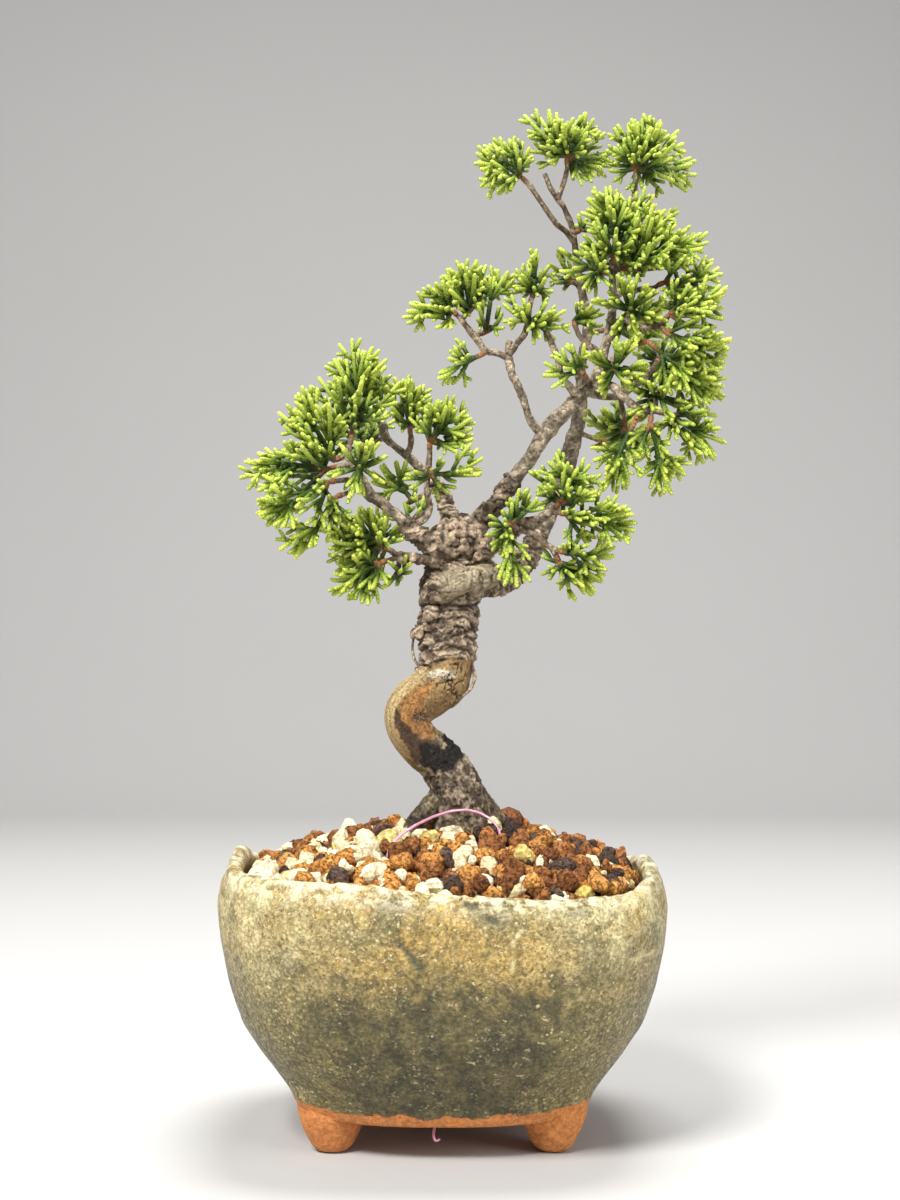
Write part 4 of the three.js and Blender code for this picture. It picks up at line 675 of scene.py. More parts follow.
def make_piece(name, points, quads, triangles=None, layers=None, material=None):
    """A mesh object from arrays, points in design millimetres; layers are values by point."""
    mesh = bpy.data.meshes.new(name)
    triangles = np.zeros((0, 3), int) if triangles is None else triangles
    corners = np.concatenate([quads.ravel(), triangles.ravel()])
    starts = np.concatenate([np.arange(len(quads)) * 4,
                             4 * len(quads) + np.arange(len(triangles)) * 3])
    mesh.vertices.add(len(points))
    mesh.vertices.foreach_set("co", placed(points).ravel())
    mesh.loops.add(len(corners))
    mesh.loops.foreach_set("vertex_index", corners)
    mesh.polygons.add(len(starts))
    mesh.polygons.foreach_set("loop_start", starts)
    mesh.polygons.foreach_set("use_smooth", np.ones(len(starts), bool))
    for layer, values in (layers or {}).items():
        values = np.asarray(values, float)
        kind, key = ("FLOAT", "value") if values.ndim == 1 else ("FLOAT_VECTOR", "vector")
        mesh.attributes.new(layer, kind, "POINT").data.foreach_set(key, values.ravel())
    mesh.update(calc_edges=True)
    mesh.validate()
    piece = bpy.data.objects.new(name, mesh)
    bpy.context.scene.collection.objects.link(piece)
    if material:
        mesh.materials.append(material)
    return piece


def gather(parts):
    """One set of arrays from several (points, quads, triangles, layers)."""
    shift = np.cumsum([0] + [len(part[0]) for part in parts[:-1]])
    points = np.concatenate([part[0] for part in parts])
    quads = np.concatenate([part[1] + at for part, at in zip(parts, shift)])
    triangles = np.concatenate([part[2] + at for part, at in zip(parts, shift)])
    layers = {key: np.concatenate([part[3][key] for part in parts]) for key in parts[0][3]}
    return points, quads, triangles, layers


# Pot

def outline_half(rise):
    """The outline's half width, its corners softened by a moving average."""
    halves, rises = np.array(POT_OUTLINE).T
    dense = np.linspace(0, 1, 201)
    kernel = np.hanning(17)[1:-1]
    padded = np.pad(np.interp(dense, rises, halves), 7, mode="edge")
    return POT_HALF * np.interp(rise, dense, np.convolve(padded, kernel / kernel.sum(), "valid"))


def pot_reach(angle, rise):
    """Distance from the middle to the pot's outside on a rounded square:
    half / (|cos|^n + |sin|^n)^(1/n)."""
    n = np.interp(rise, (0, 1), POT_CORNER)
    spread = np.abs(np.cos(angle)) ** n + np.abs(np.sin(angle)) ** n
    return outline_half(rise) * spread ** (-1 / n)


def rim_height(angle):
    """Height of the rim: smooth steps between the listed angles."""
    angles, heights = np.array(RIM).T
    degrees = np.degrees(angle) % 360
    i = np.clip(np.searchsorted(angles, degrees, side="right") - 1, 0, len(angles) - 2)
    t = smoothstep(0, 1, (degrees - angles[i]) / (angles[i + 1] - angles[i]))
    return heights[i] + t * (heights[i + 1] - heights[i])


def pot_height(angle, rise):
    """Height of a share of the wall, stretched towards the uneven rim as rise^3."""
    top = POT_TOP + (rim_height(angle) - POT_TOP) * rise ** 3
    return POT_BASE + rise * (top - POT_BASE)


def wall(rise):
    """The wall's thickness at a share of the height."""
    return np.interp(rise, (0, 1), POT_WALL)


def foot_swell(angle, height):
    """How far the wall swells over the feet: most exp(-(turn / width)^2) round each foot, full
    at the first height and gone at the second."""
    most, width, full, gone = FOOT_SWELL
    turns = [np.angle(np.exp(1j * (angle - math.atan2(y, x)))) for x, y in FOOT_SPOTS]
    swell = sum(np.exp(-(turn / width) ** 2) for turn in turns)
    return most * swell * smoothstep(gone, full, height)


def ring_points(angle, reach, height):
    """Points at an angle, a distance from the upright through the middle, and a height."""
    return np.stack(np.broadcast_arrays(reach * np.cos(angle), reach * np.sin(angle), height),
                    axis=-1)


def pot_surface(relief):
    """Closed section carried round the pot: underside, outside, rounded lip, inside, floor and
    back through the drain hole. Noise presses soft hollows and the rim's crust inwards, and the
    lip's roughness and chips downwards."""
    angle = np.linspace(0, 2 * np.pi, POT_SIDES, endpoint=False)[None]
    floor = (POT_FLOOR - POT_BASE) / (POT_TOP - POT_BASE)
    out = np.linspace(0, LIP, WALL_RINGS)[:, None]
    turn = np.linspace(0, np.pi, LIP_RINGS + 2)[1:-1, None]
    back = np.linspace(LIP, floor, INSIDE_RINGS)[:, None]
    across = np.linspace(0, 1, FLOOR_RINGS)[:, None]
    lip_half = wall(1) / 2
    lip_start, lip_top = pot_height(angle, LIP), pot_height(angle, 1)
    blocks = [
        (DRAIN_RADIUS + across[:-1] * (pot_reach(angle, 0) - DRAIN_RADIUS), POT_BASE, 0),
        (pot_reach(angle, out) + foot_swell(angle, pot_height(angle, out)),
         pot_height(angle, out), out),
        (pot_reach(angle, LIP) - lip_half * (1 - np.cos(turn)),
         lip_start + (lip_top - lip_start) * np.sin(turn), 1),
        (pot_reach(angle, back) - wall(back), pot_height(angle, back), back),
        (pot_reach(angle, floor) - wall(floor)
         + across[1:] * (DRAIN_RADIUS - pot_reach(angle, floor) + wall(floor)), POT_FLOOR, 0),
    ]
    shape = [np.broadcast_shapes(block[0].shape, angle.shape) for block in blocks]
    grid = np.concatenate([
        ring_points(angle, np.broadcast_to(reach, size), np.broadcast_to(height, size))
        for (reach, height, _), size in zip(blocks, shape)])
    rise = np.concatenate([np.broadcast_to(block[2], size) for block, size in zip(blocks, shape)])
    skin = smoothstep(0.01, 0.08, rise)[..., None]
    hollow = 0.5 + 0.3 * noise(grid, 15, 1) + 0.2 * noise(grid, 6, 2)
    hollow += 0.4 * smoothstep(0.3, 0.75, noise(grid, 2.6, 3))
    inward = -unit(grid * (1, 1, 0) + (1e-9, 0, 0))
    grid = grid + skin * relief * hollow[..., None] * inward
    crust = smoothstep(0.86, 0.97, rise)[..., None] * (
        0.5 + 0.5 * noise(grid, 2.2, 14) + 0.35 * noise(grid, 1.1, 15))[..., None]
    grid = grid + relief * crust * inward
    edge = smoothstep(0.93, 1, rise)
    rough = 0.5 + 0.5 * noise(grid, 4.5, 4) + 0.45 * noise(grid, 1.5, 5)
    chips = smoothstep(0.4, 0.7, noise(grid, 3, 6))
    grid[..., 2] -= edge * (0.5 * np.clip(rough, 0, 2) + 0.6 * chips)
    return grid.reshape(-1, 3), grid_faces(*grid.shape[:2], wrap_rows=True), rise.ravel()


def from_line(flat, start, end):
    """How far points of a plane are from a straight line, and at which share of it."""
    line = end - start
    share = np.clip(((flat - start) @ line) / (line @ line), 0, 1)
    return np.linalg.norm(flat - start - share[:, None] * line, axis=1), share


def near_strokes(points, strokes, width):
    """1 on the strokes, drawn as lines in x and z on the front, falling to 0 at width."""
    best = np.zeros(len(points))
    for stroke in strokes:
        for start, end in zip(np.array(stroke)[:-1], np.array(stroke)[1:]):
            away, _ = from_line(points[:, [0, 2]], start, end)
            best = np.maximum(best, smoothstep(width, 0.3 * width, away))
    return best * (points[:, 1] < 0)


def make_pot():
    """The pot, and what its glaze follows: rise, which runs lower over the feet; corner,
    sin(2 angle)^4; and the two kinds of marks, the scratches broken by noise."""
    points, quads, rise = pot_surface(sizes().glaze_relief / MM)
    angle = np.arctan2(points[:, 1], points[:, 0])
    drip = 0.035 * foot_swell(angle, points[:, 2])
    scratch = near_strokes(points, SCRATCHES, SCRATCH_WIDTH)
    layers = {
        "rise": rise - drip / FOOT_SWELL[0],
        "corner": np.sin(2 * angle) ** 4,
        "gouge": near_strokes(points, GOUGES, GOUGE_WIDTH),
        "scratch": scratch * smoothstep(-1, 0, noise(points, 1.1, 8)),
    }
    return make_piece("pot_body", points, quads, layers=layers, material=finish("glazed clay"))


def foot_surface(x, y, seed):
    """Rings of the foot's profile round its own upright, pressed a little out of round."""
    radii, heights = np.array(FOOT_PROFILE).T
    height = np.concatenate([[0, 0.12, 0.4], np.linspace(0.9, heights[-1], FOOT_RINGS)])
    radius = np.interp(height, heights, radii)
    radius[:2] -= (0.5, 0.15)
    angle = np.linspace(0, 2 * np.pi, FOOT_SIDES, endpoint=False)
    grid = ring_points(angle[None], radius[:, None], height[:, None]) + (x, y, 0)
    dent = 0.18 * (1 + noise(grid, 3, seed)) + 0.08 * (1 + noise(grid, 1.1, seed + 4))
    grid[..., :2] -= dent[..., None] * unit(grid[..., :2] - (x, y))
    points = np.vstack([grid.reshape(-1, 3), (x, y, 0.02), (x, y, heights[-1])])
    quads, ends = tube_faces(len(height), len(angle))
    rise = (points[:, 2] - POT_BASE) / (POT_TOP - POT_BASE) - 0.02
    bare = np.zeros(len(points))
    return points, quads, ends, {"rise": rise, "corner": bare, "gouge": bare, "scratch": bare}


def make_feet():
    """The four feet, as one piece."""
    parts = [foot_surface(x, y, k) for k, (x, y) in enumerate(FOOT_SPOTS)]
    return make_piece("pot_feet", *gather(parts), finish("glazed clay"))


# Soil

def share_out(points):
    """Distance from the middle as a share of the way to the pot's inner wall."""
    angle = np.arctan2(points[..., 1], points[..., 0])
    edge = pot_reach(angle, 1) - wall(1) - GAP
    return np.linalg.norm(points[..., :2], axis=-1) / edge


def mound(points):
    """Height of the heap: edge + rise (1 - share^2) + a bell-shaped peak, the edge no higher
    than just under the rim."""
    x, y, height, spread = SOIL_PEAK
    away = np.hypot(points[..., 0] - x, points[..., 1] - y) / spread
    share = np.minimum(share_out(points), 1)
    rim = rim_height(np.arctan2(points[..., 1], points[..., 0]))
    low_edge = smoothstep(0.8, 1, share) * np.maximum(0, SOIL_EDGE + BELOW_RIM - rim)
    heap = SOIL_EDGE - low_edge + SOIL_RISE * (1 - share ** 2)
    return heap + height * np.exp(-away ** 2)


def make_soil_bed():
    """The dark bed under the grains: rings over the heap, then down the wall to the floor."""
    angle = np.linspace(0, 2 * np.pi, BED_SIDES, endpoint=False)[None]
    share = np.linspace(0.02, 1, BED_RINGS)[:, None]
    top = ring_points(angle, share * (pot_reach(angle, 1) - wall(1) - GAP), 0)
    top[..., 2] = mound(top) - BED_DROP + 0.5 * noise(top, 2.5, 8)
    rise = np.linspace(0.86, 0.12, BED_WALL_RINGS)[:, None]
    side = ring_points(angle, pot_reach(angle, rise) - wall(rise) - GAP, pot_height(angle, rise))
    grid = np.concatenate([top, side])
    points = np.vstack([grid.reshape(-1, 3), (0, 0, SOIL_EDGE + SOIL_RISE - BED_DROP),
                        (0, 0, POT_FLOOR + 1)])
    quads, ends = tube_faces(len(grid), angle.shape[1])
    layers = {"tone": np.tile(BED_TONE, (len(points), 1)), "crumb": np.ones(len(points))}
    return make_piece("soil_bed", points, quads[:, ::-1], ends[:, ::-1], layers,
                      finish("baked clay and pumice"))


def grain_places(rng, lift, spacing):
    """Darts thrown on the heap, large grains first; one stays where it keeps its distance."""
    radius = np.sort(rng.uniform(0, 1, sizes().grain_count) ** 1.6)[::-1]
    small, large = sizes().grain_small / MM, sizes().grain_large / MM
    radius = small + (large - small) * radius
    spots = rng.uniform(-GRAIN_REACH, GRAIN_REACH, (len(radius), 2))
    spots = np.column_stack([spots, np.zeros(len(radius))])
    edge = pot_reach(np.arctan2(spots[:, 1], spots[:, 0]), 1) - wall(1) - GAP
    inside = np.linalg.norm(spots, axis=1) < edge - 0.8 * radius
    clear = np.hypot(*(spots[:, :2] - TRUNK_SPOT).T) > TRUNK_CLEAR
    kept = np.zeros((0, 3))
    kept_radius = np.zeros(0)
    for spot, size in zip(spots[inside & clear], radius[inside & clear]):
        if np.all(np.hypot(*(kept - spot).T[:2]) > spacing * (kept_radius + size)):
            kept = np.vstack([kept, spot])
            kept_radius = np.append(kept_radius, size)
    kept[:, 2] = mound(kept) + lift + 0.5 * kept_radius * rng.uniform(-1, 0.6, len(kept))
    return kept, kept_radius


def grain_shapes(rng, sharpness, lumps):
    """Soft polyhedra round 0: the distance in direction u is (sum |n.u / d|^p)^(-1/p) over
    random planes, so p sets how sharp the edges are, times 1 + lumps noise(u)."""
    count = len(sharpness)
    polar = np.linspace(0, np.pi, GRAIN_RINGS + 2)[1:-1, None]
    angle = np.linspace(0, 2 * np.pi, GRAIN_SIDES, endpoint=False)[None]
    grid = ring_points(angle, np.sin(polar), np.cos(polar)).reshape(-1, 3)
    directions = np.vstack([grid, (0, 0, 1), (0, 0, -1)])
    normals = unit(rng.normal(size=(count, GRAIN_PLANES, 3)))
    depth = rng.uniform(0.7, 1.1, (count, GRAIN_PLANES, 1))
    facing = np.abs(normals @ directions.T) / depth
    reach = (facing ** sharpness[:, None, None]).sum(axis=1) ** (-1 / sharpness[:, None])
    reach = np.clip(reach, 0.6, 1.25)[..., None]
    bumps = noise(directions + 20 * rng.uniform(size=(count, 1, 3)), 0.62, 9)[..., None]
    shapes = directions * reach * (1 + lumps[:, None, None] * bumps)
    return shapes * rng.uniform(0.8, 1.15, (count, 1, 3))


def make_grains():
    """Three loose layers of baked clay, pumice and lava grains over the heap. Which kind a grain
    is comes from a random number plus soft noise, higher to the left and on the pale heaps.
    Only lumpy kinds are shaded smooth."""
    rng = np.random.default_rng(GRAIN_SEED)
    layers = [grain_places(rng, lift, spacing) for lift, spacing in GRAIN_LAYERS]
    places = np.concatenate([spots for spots, _ in layers])
    radius = np.concatenate([size for _, size in layers])
    count = len(places)
    pick = rng.uniform(size=count) + 0.2 * noise(places, 11, 12) - 0.006 * places[:, 0]
    for x, y in PALE_HEAPS:
        away = (places[:, 0] - x) ** 2 + (places[:, 1] - y) ** 2
        pick += PALE_PULL * np.exp(-away / PALE_SPREAD)
    shares, darkest, lightest, sharpness, lumps, scale = (
        np.array(row) for row in zip(*GRAIN_KINDS))
    kind = np.minimum(np.searchsorted(np.cumsum(shares), pick), len(shares) - 1)
    radius *= scale[kind]
    tone = blend(darkest[kind], lightest[kind], rng.uniform(size=count))
    shapes = grain_shapes(rng, sharpness[kind].astype(float), lumps[kind])
    points = places[:, None] + shapes * radius[:, None, None]
    each = shapes.shape[1]
    crumb = np.repeat(np.clip(4 * lumps[kind], 0, 1), each)
    quads, ends = tube_faces(GRAIN_RINGS, GRAIN_SIDES)
    shift = (np.arange(count) * each)[:, None, None]
    piece = make_piece("soil_grains", points.reshape(-1, 3),
                       (quads[:, ::-1] + shift).reshape(-1, 4),
                       (ends[:, ::-1] + shift).reshape(-1, 3),
                       {"tone": np.repeat(tone, each, axis=0), "crumb": crumb},
                       finish("baked clay and pumice"))
    smooth = lumps[kind] > SMOOTH_LUMPS
    smooth = np.concatenate([np.repeat(smooth, len(quads)), np.repeat(smooth, len(ends))])
    piece.data.polygons.foreach_set("use_smooth", smooth)
    return piece


# Wire and drain mesh

def round_line(stations, step, soften):
    """Points at equal steps along straight pieces, each averaged with its neighbours over
    soften millimetres by a Hann window, ends held."""
    stations = np.asarray(stations, float)
    along = length_along(stations[:, :3])
    t = np.linspace(0, along[-1], int(np.ceil(along[-1] / step)) + 1)
    line = np.stack([np.interp(t, along, values) for values in stations.T], axis=1)
    half = max(1, int(soften / step))
    kernel = np.hanning(2 * half + 3)[1:-1]
    padded = np.pad(line, ((half, half), (0, 0)), mode="reflect", reflect_type="odd")
    return np.stack([np.convolve(values, kernel / kernel.sum(), "valid")
                     for values in padded.T], axis=1)


def tube(line, sides, radius=None):
    """A closed tube round a line (x, y, z, radius), or with a radius by ring and side."""
    out = sweep(line[:, :3], sides)
    radius = line[:, 3][:, None] if radius is None else radius
    grid = line[:, None, :3] + radius[..., None] * out
    points = np.vstack([grid.reshape(-1, 3), line[0, :3], line[-1, :3]])
    return (points, *tube_faces(len(line), sides))


def make_wire():
    """The tie wire, as one tube."""
    radius = sizes().wire_radius / MM
    stations = [(*point, radius) for point in WIRE]
    points, quads, ends = tube(round_line(stations, WIRE_STEP, WIRE_SOFTEN), WIRE_SIDES)
    return make_piece("pink_wire", points, quads, ends, material=finish("pink wire"))


# Wood

def voxel_skin(points, quads, triangles, voxel, smoothing):
    """The outer skin of overlapping closed shells as one smooth mesh: points and quads."""
    rough = make_piece("rough_wood", points, quads, triangles)
    remesh = rough.modifiers.new("join", "REMESH")
    remesh.mode, remesh.voxel_size = "VOXEL", voxel * MM
    smooth = rough.modifiers.new("soften", "SMOOTH")
    smooth.factor, smooth.iterations = 0.5, smoothing
    ready = rough.evaluated_get(bpy.context.evaluated_depsgraph_get()).to_mesh()
    skin = np.empty(len(ready.vertices) * 3)
    normals = np.empty_like(skin)
    ready.vertices.foreach_get("co", skin)
    ready.vertices.foreach_get("normal", normals)
    faces = np.empty(len(ready.loops), int)
    ready.loops.foreach_get("vertex_index", faces)
    rough.to_mesh_clear()
    bpy.data.objects.remove(rough)
    skin = (skin.reshape(-1, 3) - POT_MIDDLE) / MM
    return skin, normals.reshape(-1, 3), faces.reshape(-1, 4)


def along_trunk(points):
    """Where points lie on the trunk: length along its centre line, how far to the left of it as
    seen from the front (-1 to 1), and how far to its front (-1 to 1)."""
    line = curve(TRUNK, 240)
    steps = length_along(line[:, :3])
    nearest = np.empty(len(points), int)
    for block in np.array_split(np.arange(len(points)), 1 + len(points) // 8000):
        away = points[block, None].astype(np.float32) - line[None, :, :3].astype(np.float32)
        nearest[block] = (away ** 2).sum(axis=-1).argmin(axis=1)
    tangents = unit(np.gradient(line[:, :3], axis=0))[nearest]
    left = unit(np.cross((0, -1, 0), tangents))
    offset = (points - line[nearest, :3]) / line[nearest, 3:]
    return steps[nearest], (offset * left).sum(axis=-1), -offset[:, 1]


def ridges(points, size, seed):
    """Sharp creases where noise passes through 0: 1 on the creases, 0 away from them."""
    return 1 - np.abs(fractal(points, size, seed, 2)) ** 0.6


def line_place(points, line):
    """How far points are from a centre line, in its radii there, and how far along it."""
    line = curve(line, 60)
    away = np.linalg.norm(points[:, None] - line[None, :, :3], axis=-1) / line[:, 3]
    nearest = away.argmin(axis=1)
    return away[np.arange(len(points)), nearest], length_along(line[:, :3])[nearest]


def front_patch(points, path, ragged=0.25):
    """1 on a patch of the front, drawn as a path of (x, z, half width), 0 past its edge, which
    noise makes ragged."""
    path = np.array(path)
    best = np.full(len(points), 9.0)
    for start, end in zip(path[:-1], path[1:]):
        away, share = from_line(points[:, [0, 2]], start[:2], end[:2])
        best = np.minimum(best, away / (start[2] + share * (end[2] - start[2])))
    best = best + ragged * (noise(points, 1.3, 90) + 0.6 * noise(points, 0.6, 91))
    return smoothstep(1.12, 0.88, best)


def shingles(points, pitch, seed):
    """Overlapping flakes: height over pitch, bent by noise; each flake stands proud at its
    lower edge and leans back to the next one's. Also how deep under that edge a point is,
    for the painted shade there."""
    bent = points[:, 2] + pitch * (1.1 * noise(points * (1, 1, 0.5), 1.9 * pitch, seed)
                                   + 0.5 * noise(points, 0.8 * pitch, seed + 1))
    turn = (bent + 0.12 * points[:, 0]) / pitch
    share = turn - np.floor(turn)
    return 1 - share, smoothstep(0.72, 0.96, share)


def beads(points, size, seed):
    """Domes round scattered middles, one jittered in each cube of side size: 1 on a middle,
    falling as 1 - (distance / (0.75 size))^2."""
    cell = np.floor(points / size).astype(np.int64)
    best = np.full(len(points), 9.0)
    for step in np.ndindex(3, 3, 3):
        key = cell + np.array(step) - 1
        jitter = np.stack([noise(key * 7.31, 1, seed + k) for k in range(3)], axis=-1)
        away = np.linalg.norm(points / size - key - 0.5 - 0.45 * jitter, axis=1)
        best = np.minimum(best, away)
    return np.clip(1 - (best / 0.75) ** 2, 0, 1)


def old_bark(points):
    """Relief and colour of old flaking bark: two sizes of overlapping flakes that run round the
    trunk, and the creases where it is wrapped; painted light where the small flakes stand
    proud, and painted shade under the flakes and in the creases."""
    dress = colours()
    broad, broad_flake_shade = shingles(points, 3.0, 60)
    small, small_flake_shade = shingles(points * (0.9, 0.9, 1), 1.25, 64)
    grit = fractal(points, 0.9, 30, 2)
    crease = np.zeros(len(points))
    waver = 0.5 * noise(points, 3, 68)
    for height, slope, depth in CREASES:
        drop = points[:, 2] + waver - height - slope * points[:, 0]
        crease = np.maximum(crease, depth * np.exp(-(drop / 0.45) ** 2))
    flake_and_crease_shade = np.clip(0.8 * broad_flake_shade + 0.6 * small_flake_shade + crease, 0, 1)
    relief = 0.8 * broad + 0.5 * small - 0.7 * crease + 0.35 * grit - 0.3
    worn = smoothstep(-0.35, 0.65, noise(points, 1.6, 40) + 0.7 * grit)
    tone = blend(np.array(dress.bark) * 0.75, dress.bark_light, worn)
    # painted light and shade: lighter where the small flakes stand proud, darker where they lean
    # back
    tone *= (0.75 + 0.4 * small)[:, None]
    # painted shade under the flakes and in the creases
    return relief, blend(tone, dress.bark_dark, 0.9 * flake_and_crease_shade)


def bent_wood(points, along, left, front):
    """Relief and colour of the smooth bend: tan wood, cream along its outside and at the top,
    where it is cracked; the orange live vein with a fine line round it; a dark streak that
    widens downwards; a wrinkled eye, and a pale knot with a star of cracks."""
    dress = colours()
    wood, dark = np.array(dress.deadwood), np.array(dress.bark_dark)
    grain = noise(np.stack([along * 0.12, left * 6, front * 6], axis=1), 1, 35)
    fine = noise(np.stack([along * 0.3, left * 14, front * 14], axis=1), 1, 36)
    facing = front > -0.2
    tone = blend(wood * (0.36, 0.28, 0.22), wood * (0.56, 0.47, 0.38), 0.5 + 0.5 * grain)
    cream = smoothstep(0.3, 0.8, left + 0.08 * grain) * smoothstep(42, 54, along)
    tone = blend(tone, wood * 0.92, cream)
    tone = blend(tone, wood * (0.45, 0.36, 0.3), smoothstep(-0.2, -0.8, left))
    vein = front_patch(points, VEIN, 0.22) * facing
    vein_tone = blend(np.array(dress.vein) * 0.82, np.array(dress.vein) * 1.12,
                      0.5 + 0.3 * grain + 0.6 * left)
    tone = blend(tone, vein_tone, vein)
    cracked = front_patch(points, CRACKED, 0.2) * facing
    crack = smoothstep(0.66, 0.9, ridges(points * (1, 1, 0.8), 1.7, 38)) * cracked
    tone = blend(tone, wood * (0.56, 0.5, 0.44), cracked)
    tone *= (0.92 + 0.3 * grain + 0.26 * fine)[:, None]
    rim = 4 * vein * (1 - vein) * smoothstep(-0.7, 0.3, noise(points, 2, 39))
    tone = blend(tone, dark * 3, 0.5 * rim)
    streak = front_patch(points, STREAK, 0.3) * facing
    tone = blend(tone, dark * (2, 1.5, 1.2), streak * (0.9 + 0.1 * grain))
    tone = blend(tone, dark, 0.9 * crack)
    relief = 0.16 * grain + 0.1 * fine - 0.3 * rim - 0.2 * streak - 0.7 * crack + 0.3 * cracked
    x, z, size, spokes = EYE
    across, up = points[:, 0] - x, points[:, 2] - z
    away = np.hypot(across, 1.6 * up) / size + 0.12 * noise(points, 1.2, 43)
    ray = np.cos(spokes * np.arctan2(up, across) + 2.5 * noise(points, 1.2, 44))
    eye = smoothstep(1.05, 0.6, away) * facing
    wrinkle = smoothstep(1.6, 0.5, away) * facing * smoothstep(0, 0.8, ray)
    tone = blend(tone, np.array(dress.bark) * 0.7, 0.7 * eye)
    tone = blend(tone, dark, 0.8 * wrinkle)
    x, z, wide, tall = KNOT
    away = np.hypot((points[:, 0] - x) / wide, (points[:, 2] - z) / tall)
    pale = smoothstep(1.15, 0.8, away + 0.2 * noise(points, 1.1, 46)) * facing
    tone = blend(tone, (0.56, 0.5, 0.37), 0.75 * pale)
    x, z, size, spokes = STAR
    across, up = points[:, 0] - x, points[:, 2] - z
    away = np.hypot(across, up) / size
    ray = np.cos(spokes * np.arctan2(up, across) + 2 * noise(points, 1.4, 47))
    star = smoothstep(1.1, 0.2, away + 0.3 * noise(points, 0.7, 48)) * facing
    star = star * smoothstep(0.7 * away + 0.15, 0.7 * away + 0.45, ray)
    tone = blend(tone, dark * 0.6, star)
    return relief - 0.4 * eye - 0.5 * wrinkle + 0.2 * pale - 0.8 * star, tone


def trunk_foot(points):
    """Relief and colour of the trunk's foot: fine dark grey-brown bark, drawn out along it,
    with yellow-brown flecks; darker on the left root."""
    dress = colours()
    x, y, z = points.T
    drawn = np.stack([x + 0.35 * z, y, 0.5 * z], axis=-1)
    fibre = smoothstep(0.6, 0.97, ridges(drawn, 1.2, 50))
    grit = fractal(points, 0.8, 52, 2)
    worn = smoothstep(-0.5, 0.8, noise(points, 1.3, 53) + 0.8 * grit)
    tone = blend(np.array(dress.bark) * 0.45, np.array(dress.bark_light) * 0.72, worn)
    fleck = smoothstep(0, 0.5, noise(points, 0.8, 54))
    fleck = fleck * smoothstep(-0.2, 0.4, noise(points, 5, 55))
    tone = blend(tone, dress.moss, 0.7 * fleck)
    tone = blend(tone, dress.bark_dark, 0.7 * fibre)
    root = smoothstep(73, 70, z) * smoothstep(-2, -5, x)
    tone = tone * (1 - 0.55 * root)[:, None]
    return 0.3 - 0.6 * fibre + 0.4 * grit, tone * 0.82


def trunk_bark(points, normals):
    """The trunk's three kinds of bark, joined along ragged edges: flaking above the bend,
    smooth in it, fine and dark under it; a black patch; the tan limb that twists across its
    front, with rings round its end; and the beaded knobs where the top was pruned. Gives the
    points moved out by the relief, their colour and how beady they are."""
    dress = colours()
    dark = np.array(dress.bark_dark)
    along, left, front = along_trunk(points)
    middle, top, fall, lowest = OLD_BARK_EDGE
    edge = np.maximum(top - fall * (points[:, 0] - middle) ** 2, lowest)
    edge += 0.8 * noise(points, 2.4, 20)
    old = smoothstep(-0.2, 0.2, points[:, 2] - edge)
    base = 1 - smoothstep(*FOOT_END, along + 3 * left + 2.2 * noise(points, 2.2, 22))
    base *= 1 - old
    bend = 1 - old - base
    old_relief, old_tone = old_bark(points)
    bend_relief, bend_tone = bent_wood(points, along, left, front)
    foot_relief, foot_tone = trunk_foot(points)
    relief = old * (old_relief + 0.3) + bend * bend_relief + base * foot_relief
    tone = old[:, None] * old_tone + bend[:, None] * bend_tone + base[:, None] * foot_tone
    black = front_patch(points, CHAR, 0.35) * (front > -0.3)
    tone = blend(tone, dark * 0.35, 0.97 * black)

    away, reached = line_place(points, TWIST)
    in_front = (points[:, 1] < -2.5) * smoothstep(-1.5, 0.8, points[:, 0])
    tan = smoothstep(1.3, 1.0, away) * in_front
    stripe = noise(points * (0.35, 1, 1.6), 1.1, 66)
    fold = smoothstep(0.6, 0.97, ridges(points * (0.6, 1, 1), 3, 67))
    rings = smoothstep(11, 15, reached) * smoothstep(
        0.6, 1, np.cos(2 * np.pi * reached / 1.6 + 2 * noise(points, 2.5, 69)))
    smooth_tone = blend(np.array(dress.deadwood) * (0.5, 0.56, 0.74),
                        np.array(dress.deadwood) * (0.9, 1, 1.4), 0.5 + 0.5 * stripe)
    smooth_tone = blend(smooth_tone, dark, np.clip(0.5 * fold + 0.7 * rings, 0, 0.85))
    tone = blend(tone, smooth_tone, 0.9 * tan)
    relief = relief * (1 - tan) + tan * (0.25 * stripe + 0.3 - 0.5 * fold - 0.6 * rings)

    x, y, z, wide, deep, tall = CALLUS_CLUMP
    away = np.linalg.norm((points - (x, y, z)) / (1.35 * wide, 1.6 * deep, 1.3 * tall), axis=1)
    clump = smoothstep(1.1, 0.8, away) * (1 - tan)
    dome = beads(points, 1.7, 80)
    # painted light and shade: light on the knobs' domes, dark in the gaps between them
    knobs = blend(dark * 1.5, np.array(dress.bark_light), smoothstep(0.05, 0.7, dome))
    tone = blend(tone, knobs * (1 + 0.3 * noise(points, 0.8, 84))[:, None], 0.85 * clump)
    relief = relief * (1 - clump) + clump * (1.1 * dome - 0.3)
    depth = sizes().bark_relief / MM
    beady = np.clip(0.5 * old + 0.2 * clump - tan, 0, 1)
    return points + normals * (depth * relief)[:, None], np.clip(tone, 0.004, 1), beady


